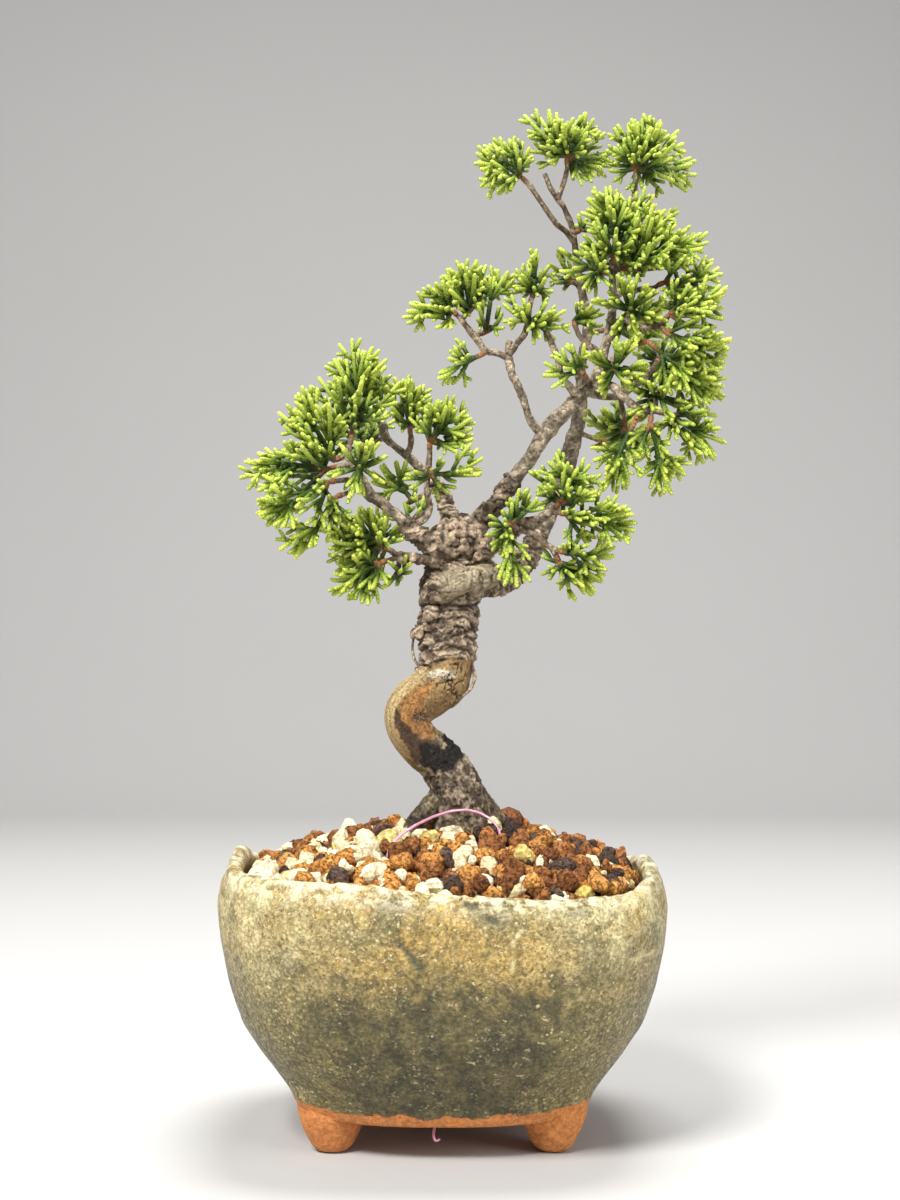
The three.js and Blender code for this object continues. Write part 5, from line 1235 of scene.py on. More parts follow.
def carried_limbs():
    """The limbs and twigs that carry the sprays. A hub past a limb's end lengthens that limb;
    any other hangs on a twig from the nearest wood. Also each spray's direction at its hub."""
    lines = {"trunk": TRUNK, "twist": TWIST, **LIMBS}
    starts, ends, owners = [], [], []
    for owner, line in lines.items():
        points = np.array(line)[:, :3]
        starts.append(points[:-1])
        ends.append(points[1:])
        owners += [(owner, i == len(points) - 2) for i in range(len(points) - 1)]
    starts, ends = np.concatenate(starts), np.concatenate(ends)
    steps = ends - starts
    limbs = {name: list(line) for name, line in LIMBS.items()}
    grown, twigs, headings = set(), [], {}
    for name, (hub, _) in (SPRAYS | EXTRA_SPRAYS).items():
        share = np.clip(((hub - starts) * steps).sum(axis=1) / (steps ** 2).sum(axis=1), 0, 1)
        points = starts + share[:, None] * steps
        nearest = np.linalg.norm(hub - points, axis=1).argmin()
        owner, last = owners[nearest]
        headings[name] = unit(hub - points[nearest])
        if share[nearest] == 1 and last and owner in limbs and owner not in grown:
            grown.add(owner)
            limbs[owner].append((*hub, TWIG_TIP))
        else:
            twigs.append([(*points[nearest], TWIG_ROOT), (*hub, TWIG_TIP)])
    return limbs, twigs, headings


def make_trunk():
    """Trunk, roots, the twisting limb, the knobs and the limbs' first stretches, in one skin."""
    thick = [curve(TRUNK, TRUNK_RINGS), curve(TWIST, TWIST_RINGS)]
    thick += [curve(root, ROOT_RINGS) for root in ROOTS.values()]
    thick += [curve(limb[:FIRST_STRETCH], STRETCH_RINGS) for limb in LIMBS.values()
              if limb[0][3] > THICK_LIMB]
    rng = np.random.default_rng(KNOB_SEED)
    x, y, z, wide, deep, tall = CALLUS_CLUMP
    way = unit(rng.normal(size=(KNOB_COUNT, 3)) - (0, 0.5, 0))
    small = np.column_stack([way * (wide, deep, tall) + (x, y, z),
                             rng.uniform(*KNOB_SIZE, KNOB_COUNT)])
    polar = np.linspace(0, np.pi, KNOB_RINGS)
    middle = np.zeros((len(polar), 2))
    ball = np.column_stack([middle, -np.cos(polar), np.maximum(np.sin(polar), 0.1)])
    parts = [(*tube(line, TRUNK_SIDES), {}) for line in thick]
    parts += [(*tube(ball * radius + (*place, 0), KNOB_SIDES), {})
              for *place, radius in (*CALLUS, *LUMPS, *small)]
    points, quads, ends, _ = gather(parts)
    points, normals, quads = voxel_skin(points, quads, ends, SKIN_STEP, SKIN_SMOOTHING)
    points, tone, beady = trunk_bark(points, normals)
    return make_piece("old_trunk", points, quads, layers={"tone": tone, "beady": beady},
                      material=finish("juniper bark"))


def limb_surface(line, sides):
    """A limb: its curve swept, rough with small knobs and flakes, browner where it is thin;
    painted light on the knobs, painted shade between them, and flake grooves dark partly as
    painted shade.
    """
    dress = colours()
    line = curve(line, max(8, int(length_along(np.array(line)[:, :3])[-1] / LIMB_STEP)))
    out = sweep(line[:, :3], sides)
    at = line[:, None, :3] + out * line[:, 3][:, None, None]
    flake = smoothstep(0.4, 0.95, ridges(at, 1.7, 70))
    knobs = fractal(at, 1.5, 73, 2)
    depth = np.minimum(0.2 * line[:, 3], 0.26)[:, None]
    radius = line[:, 3][:, None] + depth * (1.0 * knobs - 0.7 * flake + 0.2)
    points, quads, ends = tube(line, sides, radius)
    thin = smoothstep(0.95, 0.6, line[:, 3])[:, None]
    raised = smoothstep(-0.4, 0.7, knobs + 0.4 * noise(at, 0.7, 75))
    # painted light and shade: a lit copy of the limb colour on the raised knobs, a shaded copy
    # between them
    tone = blend(np.array(dress.limb) * 0.55, np.array(dress.limb) * 1.35, raised)
    tone = blend(tone, dress.twig, 0.4 * thin * (1 - 0.6 * raised))
    # dark flake grooves, partly painted shade
    tone = blend(tone, dress.bark_dark, 0.6 * flake * (1 - 0.5 * raised))
    tone = np.vstack([tone.reshape(-1, 3), tone[0, 0], tone[-1, 0]])
    return points, quads, ends, {"tone": tone, "beady": np.ones(len(points))}


def make_limbs():
    """Every limb and twig and the trunk's loose strands of bark, as one piece."""
    limbs, twigs, _ = carried_limbs()
    parts = [limb_surface(line, LIMB_SIDES) for line in limbs.values()]
    parts += [limb_surface(line, TWIG_SIDES) for line in (*twigs, *STRANDS)]
    return make_piece("limbs", *gather(parts), finish("juniper bark"))


# Foliage

def turned(vectors, axes, degrees):
    """Vectors turned about axes: v cos + (a x v) sin + a (a.v)(1 - cos)."""
    angle = np.radians(degrees)[..., None]
    lean = (axes * vectors).sum(axis=-1, keepdims=True)
    return (vectors * np.cos(angle) + np.cross(axes, vectors) * np.sin(angle)
            + axes * lean * (1 - np.cos(angle)))


def leaving(tips, bend, stem, reach):
    """Where branchlets to the tips leave the stem at the branching angle."""
    to_tip = tips - bend
    along = to_tip @ stem
    across = np.linalg.norm(to_tip - along[:, None] * stem, axis=1)
    start = np.clip(along - across / math.tan(math.radians(BRANCH_ANGLE)), 0, reach)
    return bend + start[:, None] * stem


def shoot_batch(start, end, lift, radius, rings, sides):
    """Shoots as closed tubes: each runs from start to end with its middle lifted, a parabola,
    and its last ring_radius before the end is a half ball: radius sqrt(1 - (share of it)^2)."""
    run = end - start
    reach = np.linalg.norm(run, axis=1)
    body = np.linspace(0, 1, rings - 2)
    dome = np.array([0.55, 0.9])
    cap = np.minimum(0.5, radius / reach)[:, None]
    t = np.concatenate([body * (1 - cap), 1 - cap * (1 - dome)], axis=1)
    round_off = np.concatenate([np.ones(rings - 2), np.sqrt(1 - dome ** 2)])
    centres = (start[:, None] + run[:, None] * t[..., None]
               + lift[:, None] * (4 * t * (1 - t))[..., None])
    ring_radius = radius[:, None] * (1 - 0.1 * t) * round_off
    heading = unit(run)
    across = unit(np.cross(heading, (0.31, 0.2, 0.93)))
    other = np.cross(heading, across)
    angle = np.arange(sides) * 2 * np.pi / sides
    out = across[:, None] * np.cos(angle)[:, None] + other[:, None] * np.sin(angle)[:, None]
    grid = centres[:, :, None] + ring_radius[..., None, None] * out[:, None]
    grid = grid.reshape(len(start), -1, 3)
    points = np.concatenate([grid, centres[:, :1], end[:, None]], axis=1)
    quads, ends = tube_faces(rings, sides)
    shift = (np.arange(len(start)) * points.shape[1])[:, None, None]
    share = np.concatenate([np.repeat(t, sides, axis=1), np.zeros((len(t), 1)),
                            np.ones((len(t), 1))], axis=1)
    round_x = np.concatenate([np.tile(np.cos(angle), rings), [1, 1]])
    round_y = np.concatenate([np.tile(np.sin(angle), rings), [0, 0]])
    turn = np.stack([np.broadcast_to(round_x, share.shape), np.broadcast_to(round_y, share.shape),
                     share * reach[:, None]], axis=-1)
    return (points.reshape(-1, 3), (quads + shift).reshape(-1, 4),
            (ends + shift).reshape(-1, 3), share, turn.reshape(-1, 3))


def side_shoots(rng, start, end, plane, pitch, longest, layout):
    """Side shoots of many parents at once, alternately left and right in each parent's plane.
    The layout is (angle, spare, taper): they leave at the angle, every pitch along the parent
    from spare millimetres on, and get shorter towards its tip, at most taper times what is
    left of it and a little."""
    angle, spare, taper = layout
    run = end - start
    lengths = np.linalg.norm(run, axis=1)
    counts = np.maximum(0, ((lengths - spare) / pitch).astype(int))
    parent = np.repeat(np.arange(len(start)), counts)
    number = np.arange(len(parent)) - np.repeat(np.cumsum(counts) - counts, counts)
    place = spare + pitch * (number + rng.uniform(-0.2, 0.2, len(parent)))
    heading = unit(run)[parent]
    side = np.where(number % 2, 1, -1)
    normal = turned(plane[parent], heading, rng.uniform(-24, 24, len(parent)))
    way = turned(heading, normal, side * (angle + rng.uniform(-7, 7, len(parent))))
    left = np.clip(lengths[parent] - place, 0, None)
    size = np.minimum(longest * rng.uniform(0.65, 1.1, len(parent)), taper * left + 1.1)
    root = start[parent] + heading * place[:, None]
    return root, root + way * size[:, None], normal, -0.09 * heading * size[:, None]


def inside_box(start, end, margin):
    """Ends drawn back along their shoots so that they stay in the frame's box."""
    run = end - start
    room = np.where(run > 0, BOX_HIGH - margin - start, BOX_LOW + margin - start)
    share = np.where(np.abs(run) > 1e-6, room / np.where(np.abs(run) > 1e-6, run, 1), 1)
    return start + run * np.clip(share.min(axis=1), 0, 1)[:, None]


def spray_shoots(hub, tips, heading, rng):
    """Every shoot of a spray, level by level: start, end, lift, radius, rings, sides and age at
    its two ends. The main branchlets leave the stem at the branching angle and curve upwards;
    their side shoots, and the lobes of these, curve towards their parent's heading."""
    tips, hub = np.array(tips, float), np.array(hub, float)
    dress = sizes()
    radius = dress.shoot_radius / MM
    bend = hub + (GAP + COLLAR) * heading
    end = bend + STEM_SHARE * (tips.mean(axis=0) - bend)
    stem, reach = unit(end - bend), np.linalg.norm(end - bend)
    rolls = np.resize(ROLLS, len(tips)).astype(float)
    copies = bend + turned(tips - bend, np.broadcast_to(stem, tips.shape), rolls)
    roots = np.concatenate([leaving(tips, bend, stem, reach), leaving(copies, bend, stem, reach)])
    ends = np.concatenate([tips, copies])
    ends[len(tips):] = roots[len(tips):] + COPY_LENGTH * (ends[len(tips):] - roots[len(tips):])
    ends = inside_box(roots, ends - TIP_BACK * unit(ends - roots), radius)
    run = ends - roots
    plane = turned(unit(np.cross(run, stem) + 1e-3), unit(run), rng.uniform(-28, 28, len(ends)))
    lift = np.linalg.norm(run, axis=1)[:, None] * (
        rng.uniform(-0.05, 0.05, (len(ends), 3)) - (0, 0, 0.06))
    side_root, side_end, side_plane, side_lift = side_shoots(
        rng, roots, ends, plane, dress.side_pitch / MM, dress.side_length / MM, SIDE_LAYOUT)
    side_end = inside_box(side_root, side_end, radius)
    lobe_root, lobe_end, _, lobe_lift = side_shoots(
        rng, side_root, side_end, side_plane, dress.twig_pitch / MM, dress.twig_length / MM,
        LOBE_LAYOUT)
    lobe_end = inside_box(lobe_root, lobe_end, radius)
    out = np.linalg.norm(ends - bend, axis=1).max()

    def age(points):
        """0 at the hub to 1 at the outermost tip."""
        return np.clip(np.linalg.norm(points - bend, axis=1) / out, 0, 1)

    return [
        (np.stack([hub, bend]), np.stack([bend, end]), np.zeros((2, 3)), np.array(STEM_RADII),
         *STEM_MESH, np.zeros(2), np.array([0.1, 0.5])),
        (roots, ends, lift, np.full(len(ends), radius * 1.08), *MAIN_MESH,
         0.6 * age(roots), 0.5 + 0.5 * age(ends)),
        (side_root, side_end, side_lift, np.full(len(side_end), radius), *SIDE_MESH,
         0.15 + 0.55 * age(side_root), 0.45 + 0.55 * age(side_end)),
        (lobe_root, lobe_end, lobe_lift, np.full(len(lobe_end), radius * 0.92), *LOBE_MESH,
         0.2 + 0.55 * age(lobe_root), 0.5 + 0.5 * age(lobe_end)),
    ]


def make_spray(name, hub, tips, heading, rng):
    """One spray, with what its leaves follow: age from old to fresh, which also sets the painted
    shade of the inner leaf, a shade of each shoot's own, the place round and along the shoot,
    and how near its tip."""
    parts = []
    for level, shoots in enumerate(spray_shoots(hub, tips, heading, rng)):
        start, end, lift, radius, rings, sides, at_start, at_end = shoots
        if not len(start):
            continue
        points, quads, ends, share, turn = shoot_batch(start, end, lift, radius, rings, sides)
        age = at_start[:, None] + (at_end - at_start)[:, None] * share
        shade = np.broadcast_to(rng.uniform(size=(len(start), 1)), share.shape)
        parts.append((points, quads, ends, {
            "age": age.ravel(), "shade": shade.ravel(), "turn": turn,
            "tip": share.ravel() * (level > 0),
        }))
    points, quads, ends, layers = gather(parts)
    return make_piece(f"foliage_{name}", points, quads, ends, layers, finish("scale leaf"))


# Finishes. First, factors of red, green and blue that they darken or lighten by, and the plain
# colours of the wire's scuffs and of the drain mesh

GLAZE_BLOTCH, GLAZE_FINE = (0.5, 0.5, 0.38), (0.42, 0.41, 0.32)
SOIL_PIT, SOIL_DUST = (0.28, 0.24, 0.2), (1.7, 1.5, 1.2)
# Of the bark's factors, the first darkens the gaps between its round grains as painted shade
BARK_GAP_SHADE, BARK_PIT, BARK_FLECK = (0.42, 0.37, 0.33), (0.3, 0.26, 0.23), (1.7, 1.6, 1.45)
# Of the leaf's factors, the last brightens the scales' edges, partly as painted highlight
LEAF_TINT, LEAF_JOINT, LEAF_EDGE_HIGHLIGHT = (0.4, 0.55, 0.6), (0.25, 0.32, 0.2), (1.7, 1.45, 1.4)
WIRE_SCUFF = (0.86, 0.62, 0.68)
MESH_BLACK, MESH_DUST = (0.012, 0.012, 0.013), (0.05, 0.04, 0.032)


def fill(tree, made, inputs):
    """Links or sets a node's inputs, by name or number; a plain colour gets its alpha."""
    for key, value in inputs.items():
        socket = made.inputs[key]
        if isinstance(value, bpy.types.NodeSocket):
            tree.links.new(value, socket)
        elif socket.type == "RGBA":
            socket.default_value = (*value, 1)
        else:
            socket.default_value = value


def node(tree, kind, inputs=None, **settings):
    """Adds a shader node; inputs maps a socket's name or number to a value or another socket."""
    made = tree.nodes.new(kind)
    for key, value in settings.items():
        setattr(made, key, value)
    fill(tree, made, inputs or {})
    return made


def ramp(tree, value, low, high):
    """The value spread over 0 to 1 between low and high, smooth at both ends."""
    return node(tree, "ShaderNodeMapRange", {"Value": value, "From Min": low, "From Max": high},
                interpolation_type="SMOOTHSTEP").outputs["Result"]


def mix(tree, share, first, second, blending="MIX"):
    """The first colour, as far as share says turned into the second or blended with it."""
    return node(tree, "ShaderNodeMix", {0: share, 6: first, 7: second},
                data_type="RGBA", blend_type=blending).outputs[2]


def math_node(tree, operation, first, second=0.0):
    """The result of one Math node."""
    return node(tree, "ShaderNodeMath", {0: first, 1: second}, operation=operation).outputs[0]


def times(tree, product, *factors):
    """The product of values."""
    for factor in factors:
        product = math_node(tree, "MULTIPLY", product, factor)
    return product


def plus(tree, total, *terms):
    """The sum of values."""
    for term in terms:
        total = math_node(tree, "ADD", total, term)
    return total


def less(tree, total, *terms):
    """The first value less the others."""
    for term in terms:
        total = math_node(tree, "SUBTRACT", total, term)
    return total


def lay(tree, colour, mask, strength, top):
    """Another colour laid on where the mask is, at most as strongly as given."""
    return mix(tree, times(tree, mask, strength), colour, top)


def tint(tree, colour, mask, strength, factor):
    """The colour times a factor where the mask is, at most as strongly as given."""
    return mix(tree, times(tree, mask, strength), colour, factor, "MULTIPLY")


def attribute(tree, name, output="Fac"):
    """A mesh attribute by its name."""
    return node(tree, "ShaderNodeAttribute", attribute_name=name).outputs[output]


def scaled(tree, place, factors):
    """A vector times three factors."""
    return node(tree, "ShaderNodeVectorMath", {0: place, 1: factors},
                operation="MULTIPLY").outputs[0]


def millimetres(tree):
    """Object coordinates in millimetres, for patterns at real size."""
    place = node(tree, "ShaderNodeTexCoord").outputs["Object"]
    return scaled(tree, place, (1 / MM,) * 3)


def build_mottle(group, entry):
    """Soft patches: noise of the given size, its middle stretched by the contrast."""
    scale = math_node(group, "DIVIDE", 1.0, entry["Size"])
    noise_value = node(group, "ShaderNodeTexNoise", {
        "Vector": entry["Place"], "Scale": scale, "Detail": 4.0, "Roughness": 0.6}).outputs[0]
    spread = times(group, less(group, noise_value, 0.5), entry["Contrast"])
    return node(group, "ShaderNodeMath", {0: spread, 1: 0.5}, operation="ADD",
                use_clamp=True).outputs[0]


def build_beads(group, entry):
    """Small rounded grains of the given size: 1 on their middles, 0 in the gaps between."""
    near = node(group, "ShaderNodeTexVoronoi", {
        "Vector": entry["Place"], "Scale": math_node(group, "DIVIDE", 1.0, entry["Size"])})
    return ramp(group, near.outputs["Distance"], 0.62, 0.12)


def build_grit(group, entry):
    """Fine grains, or pits where Low is over High: rough noise of the given size, cut to 0 at
    Low and 1 at High."""
    scale = math_node(group, "DIVIDE", 1.0, entry["Size"])
    fine = node(group, "ShaderNodeTexNoise", {
        "Vector": entry["Place"], "Scale": scale, "Detail": 6.0, "Roughness": 0.72}).outputs[0]
    return ramp(group, fine, entry["Low"], entry["High"])


EFFECTS = {
    "mottle": (build_mottle, {"Size": 5.0, "Contrast": 2.0}),
    "beads": (build_beads, {"Size": 1.0}),
    "grit": (build_grit, {"Size": 0.5, "Low": 0.35, "High": 0.65}),
}


def effect(tree, name, values):
    """Places an effect's node group, built at its first use: a Place vector and named numbers
    go in, and a Mask comes out."""
    group = bpy.data.node_groups.get(name)
    if not group:
        build, defaults = EFFECTS[name]
        group = bpy.data.node_groups.new(name, "ShaderNodeTree")
        group.interface.new_socket("Place", in_out="INPUT", socket_type="NodeSocketVector")
        for label, value in defaults.items():
            socket = group.interface.new_socket(label, in_out="INPUT",
                                                socket_type="NodeSocketFloat")
            socket.default_value = value
        group.interface.new_socket("Mask", in_out="OUTPUT", socket_type="NodeSocketFloat")
        entry = node(group, "NodeGroupInput")
        node(group, "NodeGroupOutput", {"Mask": build(group, entry.outputs)})
    return node(tree, "ShaderNodeGroup", values, node_tree=group).outputs["Mask"]


def mottled(tree, place, size, contrast):
    """Soft patches of a size in millimetres, standing out as the contrast says."""
    return effect(tree, "mottle", {"Place": place, "Size": size, "Contrast": contrast})


def beaded(tree, place, size):
    """Rounded grains of a size in millimetres."""
    return effect(tree, "beads", {"Place": place, "Size": size})


def gritty(tree, place, size, low=0.35, high=0.65):
    """Fine grains or pits of a size in millimetres, where the noise passes from low to high."""
    return effect(tree, "grit", {"Place": place, "Size": size, "Low": low, "High": high})


def bump(tree, shader, height, strength, distance):
    """A bump on the shader's normal, its distance in millimetres."""
    made = node(tree, "ShaderNodeBump", {
        "Strength": strength, "Distance": distance * MM, "Height": height})
    fill(tree, shader, {"Normal": made.outputs["Normal"]})


def build_glaze(tree, shader):
    """Olive glaze, golden and thin at the top and corners, darkened towards the foot away from
    the corners as painted shade, blotted grey-green where it is thick, with cream speckle and
    dark pits, a whitish crust on the rim, dark gouges and light scratches, and bare orange clay
    below its wavy lower edge."""
    dress = colours()
    place = millimetres(tree)
    rise, corner = attribute(tree, "rise"), attribute(tree, "corner")
    high = ramp(tree, rise, 0.42, 0.85)
    thin = math_node(tree, "MAXIMUM", corner, high)
    # painted shade: the glaze darkens to 0.6 of its colour towards the foot, less at the corners
    colour = mix(tree, ramp(tree, thin, 0.1, 0.9), np.array(dress.glaze) * 0.6, dress.glaze)
    golden = times(tree, mottled(tree, place, 13.0, 4.0), high)
    colour = mix(tree, golden, colour, dress.glaze_ochre)
    pale = times(tree, corner, high, mottled(tree, place, 6.0, 3.0))
    colour = lay(tree, colour, pale, 1.2, dress.glaze_cream)
    blots = times(tree, mottled(tree, place, 4.5, 7.0), ramp(tree, thin, 1.5, 0.0))
    colour = lay(tree, colour, blots, 0.75, dress.glaze_dark)
    colour = tint(tree, colour, mottled(tree, place, 2.2, 6.0), 0.7, GLAZE_BLOTCH)
    fine = mottled(tree, place, 0.8, 7.0)
    colour = tint(tree, colour, fine, 0.75, GLAZE_FINE)
    cloudy = mottled(tree, place, 8.0, 7.0)
    grain = times(tree, beaded(tree, place, 0.75), gritty(tree, place, 0.9, 0.47, 0.62))
    speckle = times(tree, grain, ramp(tree, plus(tree, cloudy, thin), 0.2, 1.6))
    colour = lay(tree, colour, speckle, 0.9, dress.glaze_cream)
    drawn = scaled(tree, place, (0.6, 0.6, 1.2))
    worn = times(tree, gritty(tree, drawn, 1.6, 0.6, 0.66), ramp(tree, cloudy, 0.8, 0.2))
    colour = lay(tree, colour, worn, 0.5, dress.glaze_cream)
    pits = gritty(tree, place, 0.7, 0.43, 0.36)
    colour = lay(tree, colour, pits, 0.8, dress.glaze_dark)
    crust = times(tree, ramp(tree, rise, 0.88, 0.99), mottled(tree, place, 2.6, 7.0))
    colour = lay(tree, colour, crust, 0.85, dress.glaze_rim)
    gouge = attribute(tree, "gouge")
    colour = lay(tree, colour, gouge, 0.9, dress.glaze_dark)
    colour = lay(tree, colour, attribute(tree, "scratch"), 0.6, dress.glaze_cream)
    clay = mix(tree, gritty(tree, place, 1.2), np.array(dress.clay) * 0.7,
               np.array(dress.clay) * 1.2)
    edge = plus(tree, rise, times(tree, mottled(tree, place, 5.0, 2.5), 0.03))
    glazed = ramp(tree, edge, 0.058, 0.066)
    gloss = node(tree, "ShaderNodeMapRange", {"Value": glazed, "To Min": 0.85, "To Max": 0.32})
    fill(tree, shader, {
        "Base Color": mix(tree, glazed, clay, colour),
        "Roughness": plus(tree, gloss.outputs["Result"], times(tree, fine, 0.22)),
    })
    raised = plus(tree, times(tree, grain, 0.5), times(tree, fine, -0.5),
                  times(tree, crust, 0.5), times(tree, glazed, 0.8))
    height = less(tree, raised, times(tree, pits, 0.7), times(tree, gouge, 1.8))
    bump(tree, shader, height, 0.7, 0.32)


def build_soil(tree, shader):
    """Matt baked clay, pumice and lava: each grain's own tone, crumbly and pitted as far as its
    crumb value says."""
    place = millimetres(tree)
    tone, crumb = attribute(tree, "tone", "Vector"), attribute(tree, "crumb")
    pits = gritty(tree, place, 0.8, 0.52, 0.38)
    dust = mottled(tree, place, 1.1, 4.5)
    colour = mix(tree, times(tree, pits, crumb), tone, SOIL_PIT, "MULTIPLY")
    colour = tint(tree, colour, times(tree, dust, crumb), 0.7, SOIL_DUST)
    fill(tree, shader, {"Base Color": colour, "Roughness": 0.92, "Specular IOR Level": 0.25})
    lumps = times(tree, less(tree, dust, pits), crumb)
    fine = times(tree, gritty(tree, place, 0.35, 0.3, 0.7), 0.25)
    bump(tree, shader, plus(tree, lumps, fine), 1.0, 0.4)


def build_bark(tree, shader):
    """The wood's tones by point, painted light and shade among them, with flecks and pits, and
    round grains where it is beady, painted shade darkening the gaps between them.
    """
    place = millimetres(tree)
    tone, beady = attribute(tree, "tone", "Vector"), attribute(tree, "beady")
    gaps = times(tree, less(tree, 1.0, beaded(tree, place, 0.95)), beady)
    flecks = gritty(tree, place, 0.65, 0.52, 0.64)
    pits = gritty(tree, place, 0.55, 0.48, 0.36)
    # painted shade in the gaps between the round grains
    colour = tint(tree, tone, gaps, 0.6, BARK_GAP_SHADE)
    colour = tint(tree, colour, pits, 0.55, BARK_PIT)
    colour = tint(tree, colour, flecks, 0.5, BARK_FLECK)
    fill(tree, shader, {"Base Color": colour, "Roughness": 0.7, "Specular IOR Level": 0.3})
    bump(tree, shader, less(tree, flecks, pits, gaps), 0.9, 0.22)


def build_leaf(tree, shader):
    """Scale leaves in overlapping pairs: dark in their joints, pale at their edges, which are
    brightened partly as painted highlight; the shoot runs from a brown stem through dark and
    full green to fresh yellow-green tips, darker near the hubs as painted shade inside the
    canopy."""
    dress = colours()
    age = attribute(tree, "age")
    parts = node(tree, "ShaderNodeSeparateXYZ", {0: attribute(tree, "turn", "Vector")}).outputs
    # painted shade: leaf near the hubs, inside the canopy, turns to the darker inner colour
    green = mix(tree, ramp(tree, age, 0.25, 0.75), dress.leaf_inner_shaded, dress.leaf)
    fresh = times(tree, ramp(tree, age, 0.2, 0.9), ramp(tree, attribute(tree, "tip"), 0.0, 1.0))
    green = mix(tree, fresh, green, dress.leaf_tip)
    green = tint(tree, green, attribute(tree, "shade"), 0.5, LEAF_TINT)
    colour = mix(tree, ramp(tree, age, 0.04, 0.2), dress.twig, green)
    square = less(tree, times(tree, parts["X"], parts["X"]), times(tree, parts["Y"], parts["Y"]))
    beside = times(tree, math_node(tree, "GREATER_THAN", square, 0.0), 0.5)
    leaves = math_node(tree, "DIVIDE", parts["Z"], SCALE_LEAF)
    phase = math_node(tree, "FRACT", plus(tree, leaves, beside))
    joint = ramp(tree, phase, 0.78, 1.0)
    edge = times(tree, ramp(tree, phase, 0.35, 0.7), ramp(tree, phase, 0.85, 0.72))
    colour = tint(tree, colour, joint, 0.75, LEAF_JOINT)
    # pale scale edges, brightened partly as painted highlight
    colour = tint(tree, colour, edge, 0.6, LEAF_EDGE_HIGHLIGHT)
    fill(tree, shader, {"Base Color": colour, "Roughness": 0.55, "Specular IOR Level": 0.3})
    bump(tree, shader, less(tree, phase, joint), 0.7, 0.25)


def build_wire(tree, shader):
    """Pink anodised aluminium, a little scuffed."""
    scuff = gritty(tree, millimetres(tree), 1.5, 0.45, 0.7)
    colour = mix(tree, times(tree, scuff, 0.35), colours().wire, WIRE_SCUFF)
    fill(tree, shader, {"Base Color": colour, "Metallic": 0.6, "Roughness": 0.32})


def build_plastic(tree, shader):
    """Matt black moulded mesh, dusty with clay."""
    place = millimetres(tree)
    colour = mix(tree, mottled(tree, place, 2.0, 3.0), MESH_BLACK, MESH_DUST)
    fill(tree, shader, {"Base Color": colour, "Roughness": 0.6})
    bump(tree, shader, gritty(tree, place, 0.5), 0.3, 0.1)


def build_floor(tree, shader):
    """Pale painted studio floor with the faintest unevenness."""
    pale = np.array(colours().floor)
    colour = mix(tree, mottled(tree, millimetres(tree), 160.0, 1.2), pale * 0.97, pale)
    fill(tree, shader, {"Base Color": colour, "Roughness": 0.7})


FINISHES = {
    "glazed clay": build_glaze, "baked clay and pumice": build_soil, "juniper bark": build_bark,
    "scale leaf": build_leaf, "pink wire": build_wire, "black mesh": build_plastic,
    "studio floor": build_floor,
}


def finish(name):
    """The material of that name, its Principled shader filled in at its first use."""
    material = bpy.data.materials.get(name)
    if not material:
        material = bpy.data.materials.new(name)
        material.use_nodes = True
        FINISHES[name](material.node_tree, material.node_tree.nodes["Principled BSDF"])
    return material


# Stage

def make_floor():
    """A pale sweep: flat, then turning up behind on a quarter circle."""
    bend = np.linspace(0, np.pi / 2, 17)
    y = np.concatenate([[-FLOOR_REACH], FLOOR_BACK + FLOOR_BEND * np.sin(bend),
                        [FLOOR_BACK + FLOOR_BEND]])
    z = np.concatenate([[0], FLOOR_BEND * (1 - np.cos(bend)), [FLOOR_TALL]])
    x = np.linspace(-FLOOR_REACH, FLOOR_REACH, 9)
    grid = np.stack(np.broadcast_arrays(x[None], y[:, None], z[:, None]), axis=-1)
    return make_piece("floor", grid.reshape(-1, 3), grid_faces(len(y), len(x), False, False),
                      material=finish("studio floor"))


def add_light(name, place, power, size):
    """A round area light that looks at the tree."""
    data = bpy.data.lights.new(name, "AREA")
    data.energy, data.shape, data.size = power, "DISK", size
    light = bpy.data.objects.new(name, data)
    bpy.context.scene.collection.objects.link(light)
    light.location = place
    aim = Vector((0, 0, LIGHT_AIM)) - light.location
    light.rotation_euler = aim.to_track_quat("-Z", "Y").to_euler()


def add_world():
    """An even pale light all round, and the plain view transform."""
    world = bpy.data.worlds.new("studio")
    world.use_nodes = True
    background = world.node_tree.nodes["Background"]
    background.inputs["Color"].default_value = (0.93, 0.95, 1, 1)
    background.inputs["Strength"].default_value = WORLD_LIGHT
    bpy.context.scene.world = world
    bpy.context.scene.view_settings.view_transform = "Standard"


def add_camera():
    """The camera in front, looking a little upwards."""
    data = bpy.data.cameras.new("front")
    data.sensor_fit, data.sensor_height, data.lens = "VERTICAL", SENSOR_HEIGHT, LENS
    data.clip_start, data.clip_end = 0.01, 20
    camera = bpy.data.objects.new("front", data)
    bpy.context.scene.collection.objects.link(camera)
    camera.location = placed(CAMERA_PLACE)
    camera.rotation_euler = (math.pi / 2 + math.atan(CAMERA_RISE), 0, 0)
    bpy.context.scene.camera = camera


# Operators

def settle(piece, nodes):
    """The piece rides with the pot's body and stands for CAD nodes, which it hides."""
    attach(piece, "root")
    if nodes:
        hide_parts(*nodes)


class BONSAI_OT_pot(bpy.types.Operator):
    """Add the glazed pot and its clay feet"""
    bl_idname = "bonsai.add_pot"
    bl_label = "Pot"

    def execute(self, context):
        settle(make_pot(), ["pot"])
        settle(make_feet(), ["pot"])
        return {"FINISHED"}


class BONSAI_OT_soil(bpy.types.Operator):
    """Add the soil bed and its loose grains"""
    bl_idname = "bonsai.add_soil"
    bl_label = "Soil"

    def execute(self, context):
        settle(make_soil_bed(), ["soil"])
        settle(make_grains(), ["soil"])
        return {"FINISHED"}


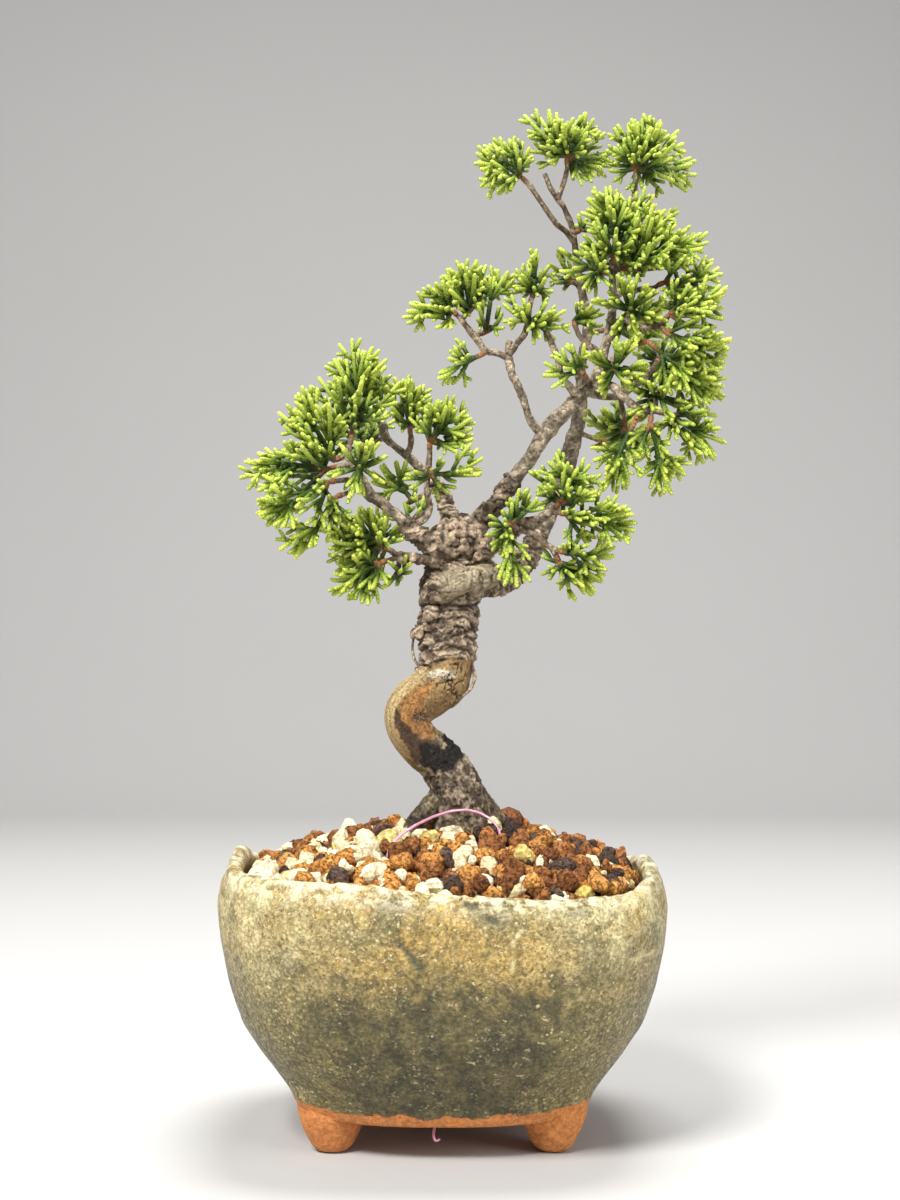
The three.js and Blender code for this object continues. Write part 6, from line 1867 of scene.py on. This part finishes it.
class BONSAI_OT_wire(bpy.types.Operator):
    """Add the tie wire and dress the drain mesh"""
    bl_idname = "bonsai.add_wire"
    bl_label = "Wire and mesh"

    def execute(self, context):
        settle(make_wire(), ["tie_wire"])
        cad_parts["drain_mesh"].material_slots[0].material = finish("black mesh")
        return {"FINISHED"}


class BONSAI_OT_wood(bpy.types.Operator):
    """Add the trunk, limbs and twigs"""
    bl_idname = "bonsai.add_wood"
    bl_label = "Wood"

    def execute(self, context):
        settle(make_trunk(), ["trunk"])
        settle(make_limbs(), ["trunk"])
        return {"FINISHED"}


class BONSAI_OT_foliage(bpy.types.Operator):
    """Add the sprays of foliage"""
    bl_idname = "bonsai.add_foliage"
    bl_label = "Foliage"

    def execute(self, context):
        rng = np.random.default_rng(SPRAY_SEED)
        _, _, headings = carried_limbs()
        for name, (hub, tips) in (SPRAYS | EXTRA_SPRAYS).items():
            piece = make_spray(name, hub, tips, headings[name], rng)
            settle(piece, [f"spray_{name}"] if name in SPRAYS else [])
        return {"FINISHED"}


class BONSAI_OT_stage(bpy.types.Operator):
    """Add the floor, the lights and the camera"""
    bl_idname = "bonsai.add_stage"
    bl_label = "Stage"

    def execute(self, context):
        make_floor()
        for name, place, power, size in LIGHTS:
            add_light(name, place, power, size)
        add_world()
        add_camera()
        return {"FINISHED"}


OPERATORS = (
    BONSAI_OT_stage, BONSAI_OT_pot, BONSAI_OT_soil, BONSAI_OT_wire, BONSAI_OT_wood,
    BONSAI_OT_foliage,
)


class BONSAI_PT_panel(bpy.types.Panel):
    """Bonsai pieces, sizes and colours"""
    bl_idname = "BONSAI_PT_panel"
    bl_label = "Juniper bonsai"
    bl_space_type = "VIEW_3D"
    bl_region_type = "UI"
    bl_category = "Bonsai"

    def draw(self, context):
        for operator in OPERATORS:
            self.layout.operator(operator.bl_idname)
        for group in (context.scene.bonsai_sizes, context.scene.bonsai_colours):
            for key in group.__annotations__:
                self.layout.prop(group, key)


CLASSES = (BonsaiSizes, BonsaiColours, *OPERATORS, BONSAI_PT_panel)


def register():
    """Registers the classes and the two property groups of the scene."""
    for item in CLASSES:
        bpy.utils.register_class(item)
    bpy.types.Scene.bonsai_sizes = PointerProperty(type=BonsaiSizes)
    bpy.types.Scene.bonsai_colours = PointerProperty(type=BonsaiColours)


def unregister():
    """Takes out what register put in."""
    del bpy.types.Scene.bonsai_colours
    del bpy.types.Scene.bonsai_sizes
    for item in reversed(CLASSES):
        bpy.utils.unregister_class(item)


def main():
    """Builds everything."""
    register()
    for operator in OPERATORS:
        category, name = operator.bl_idname.split(".")
        getattr(getattr(bpy.ops, category), name)()


if __name__ == "__main__":
    main()
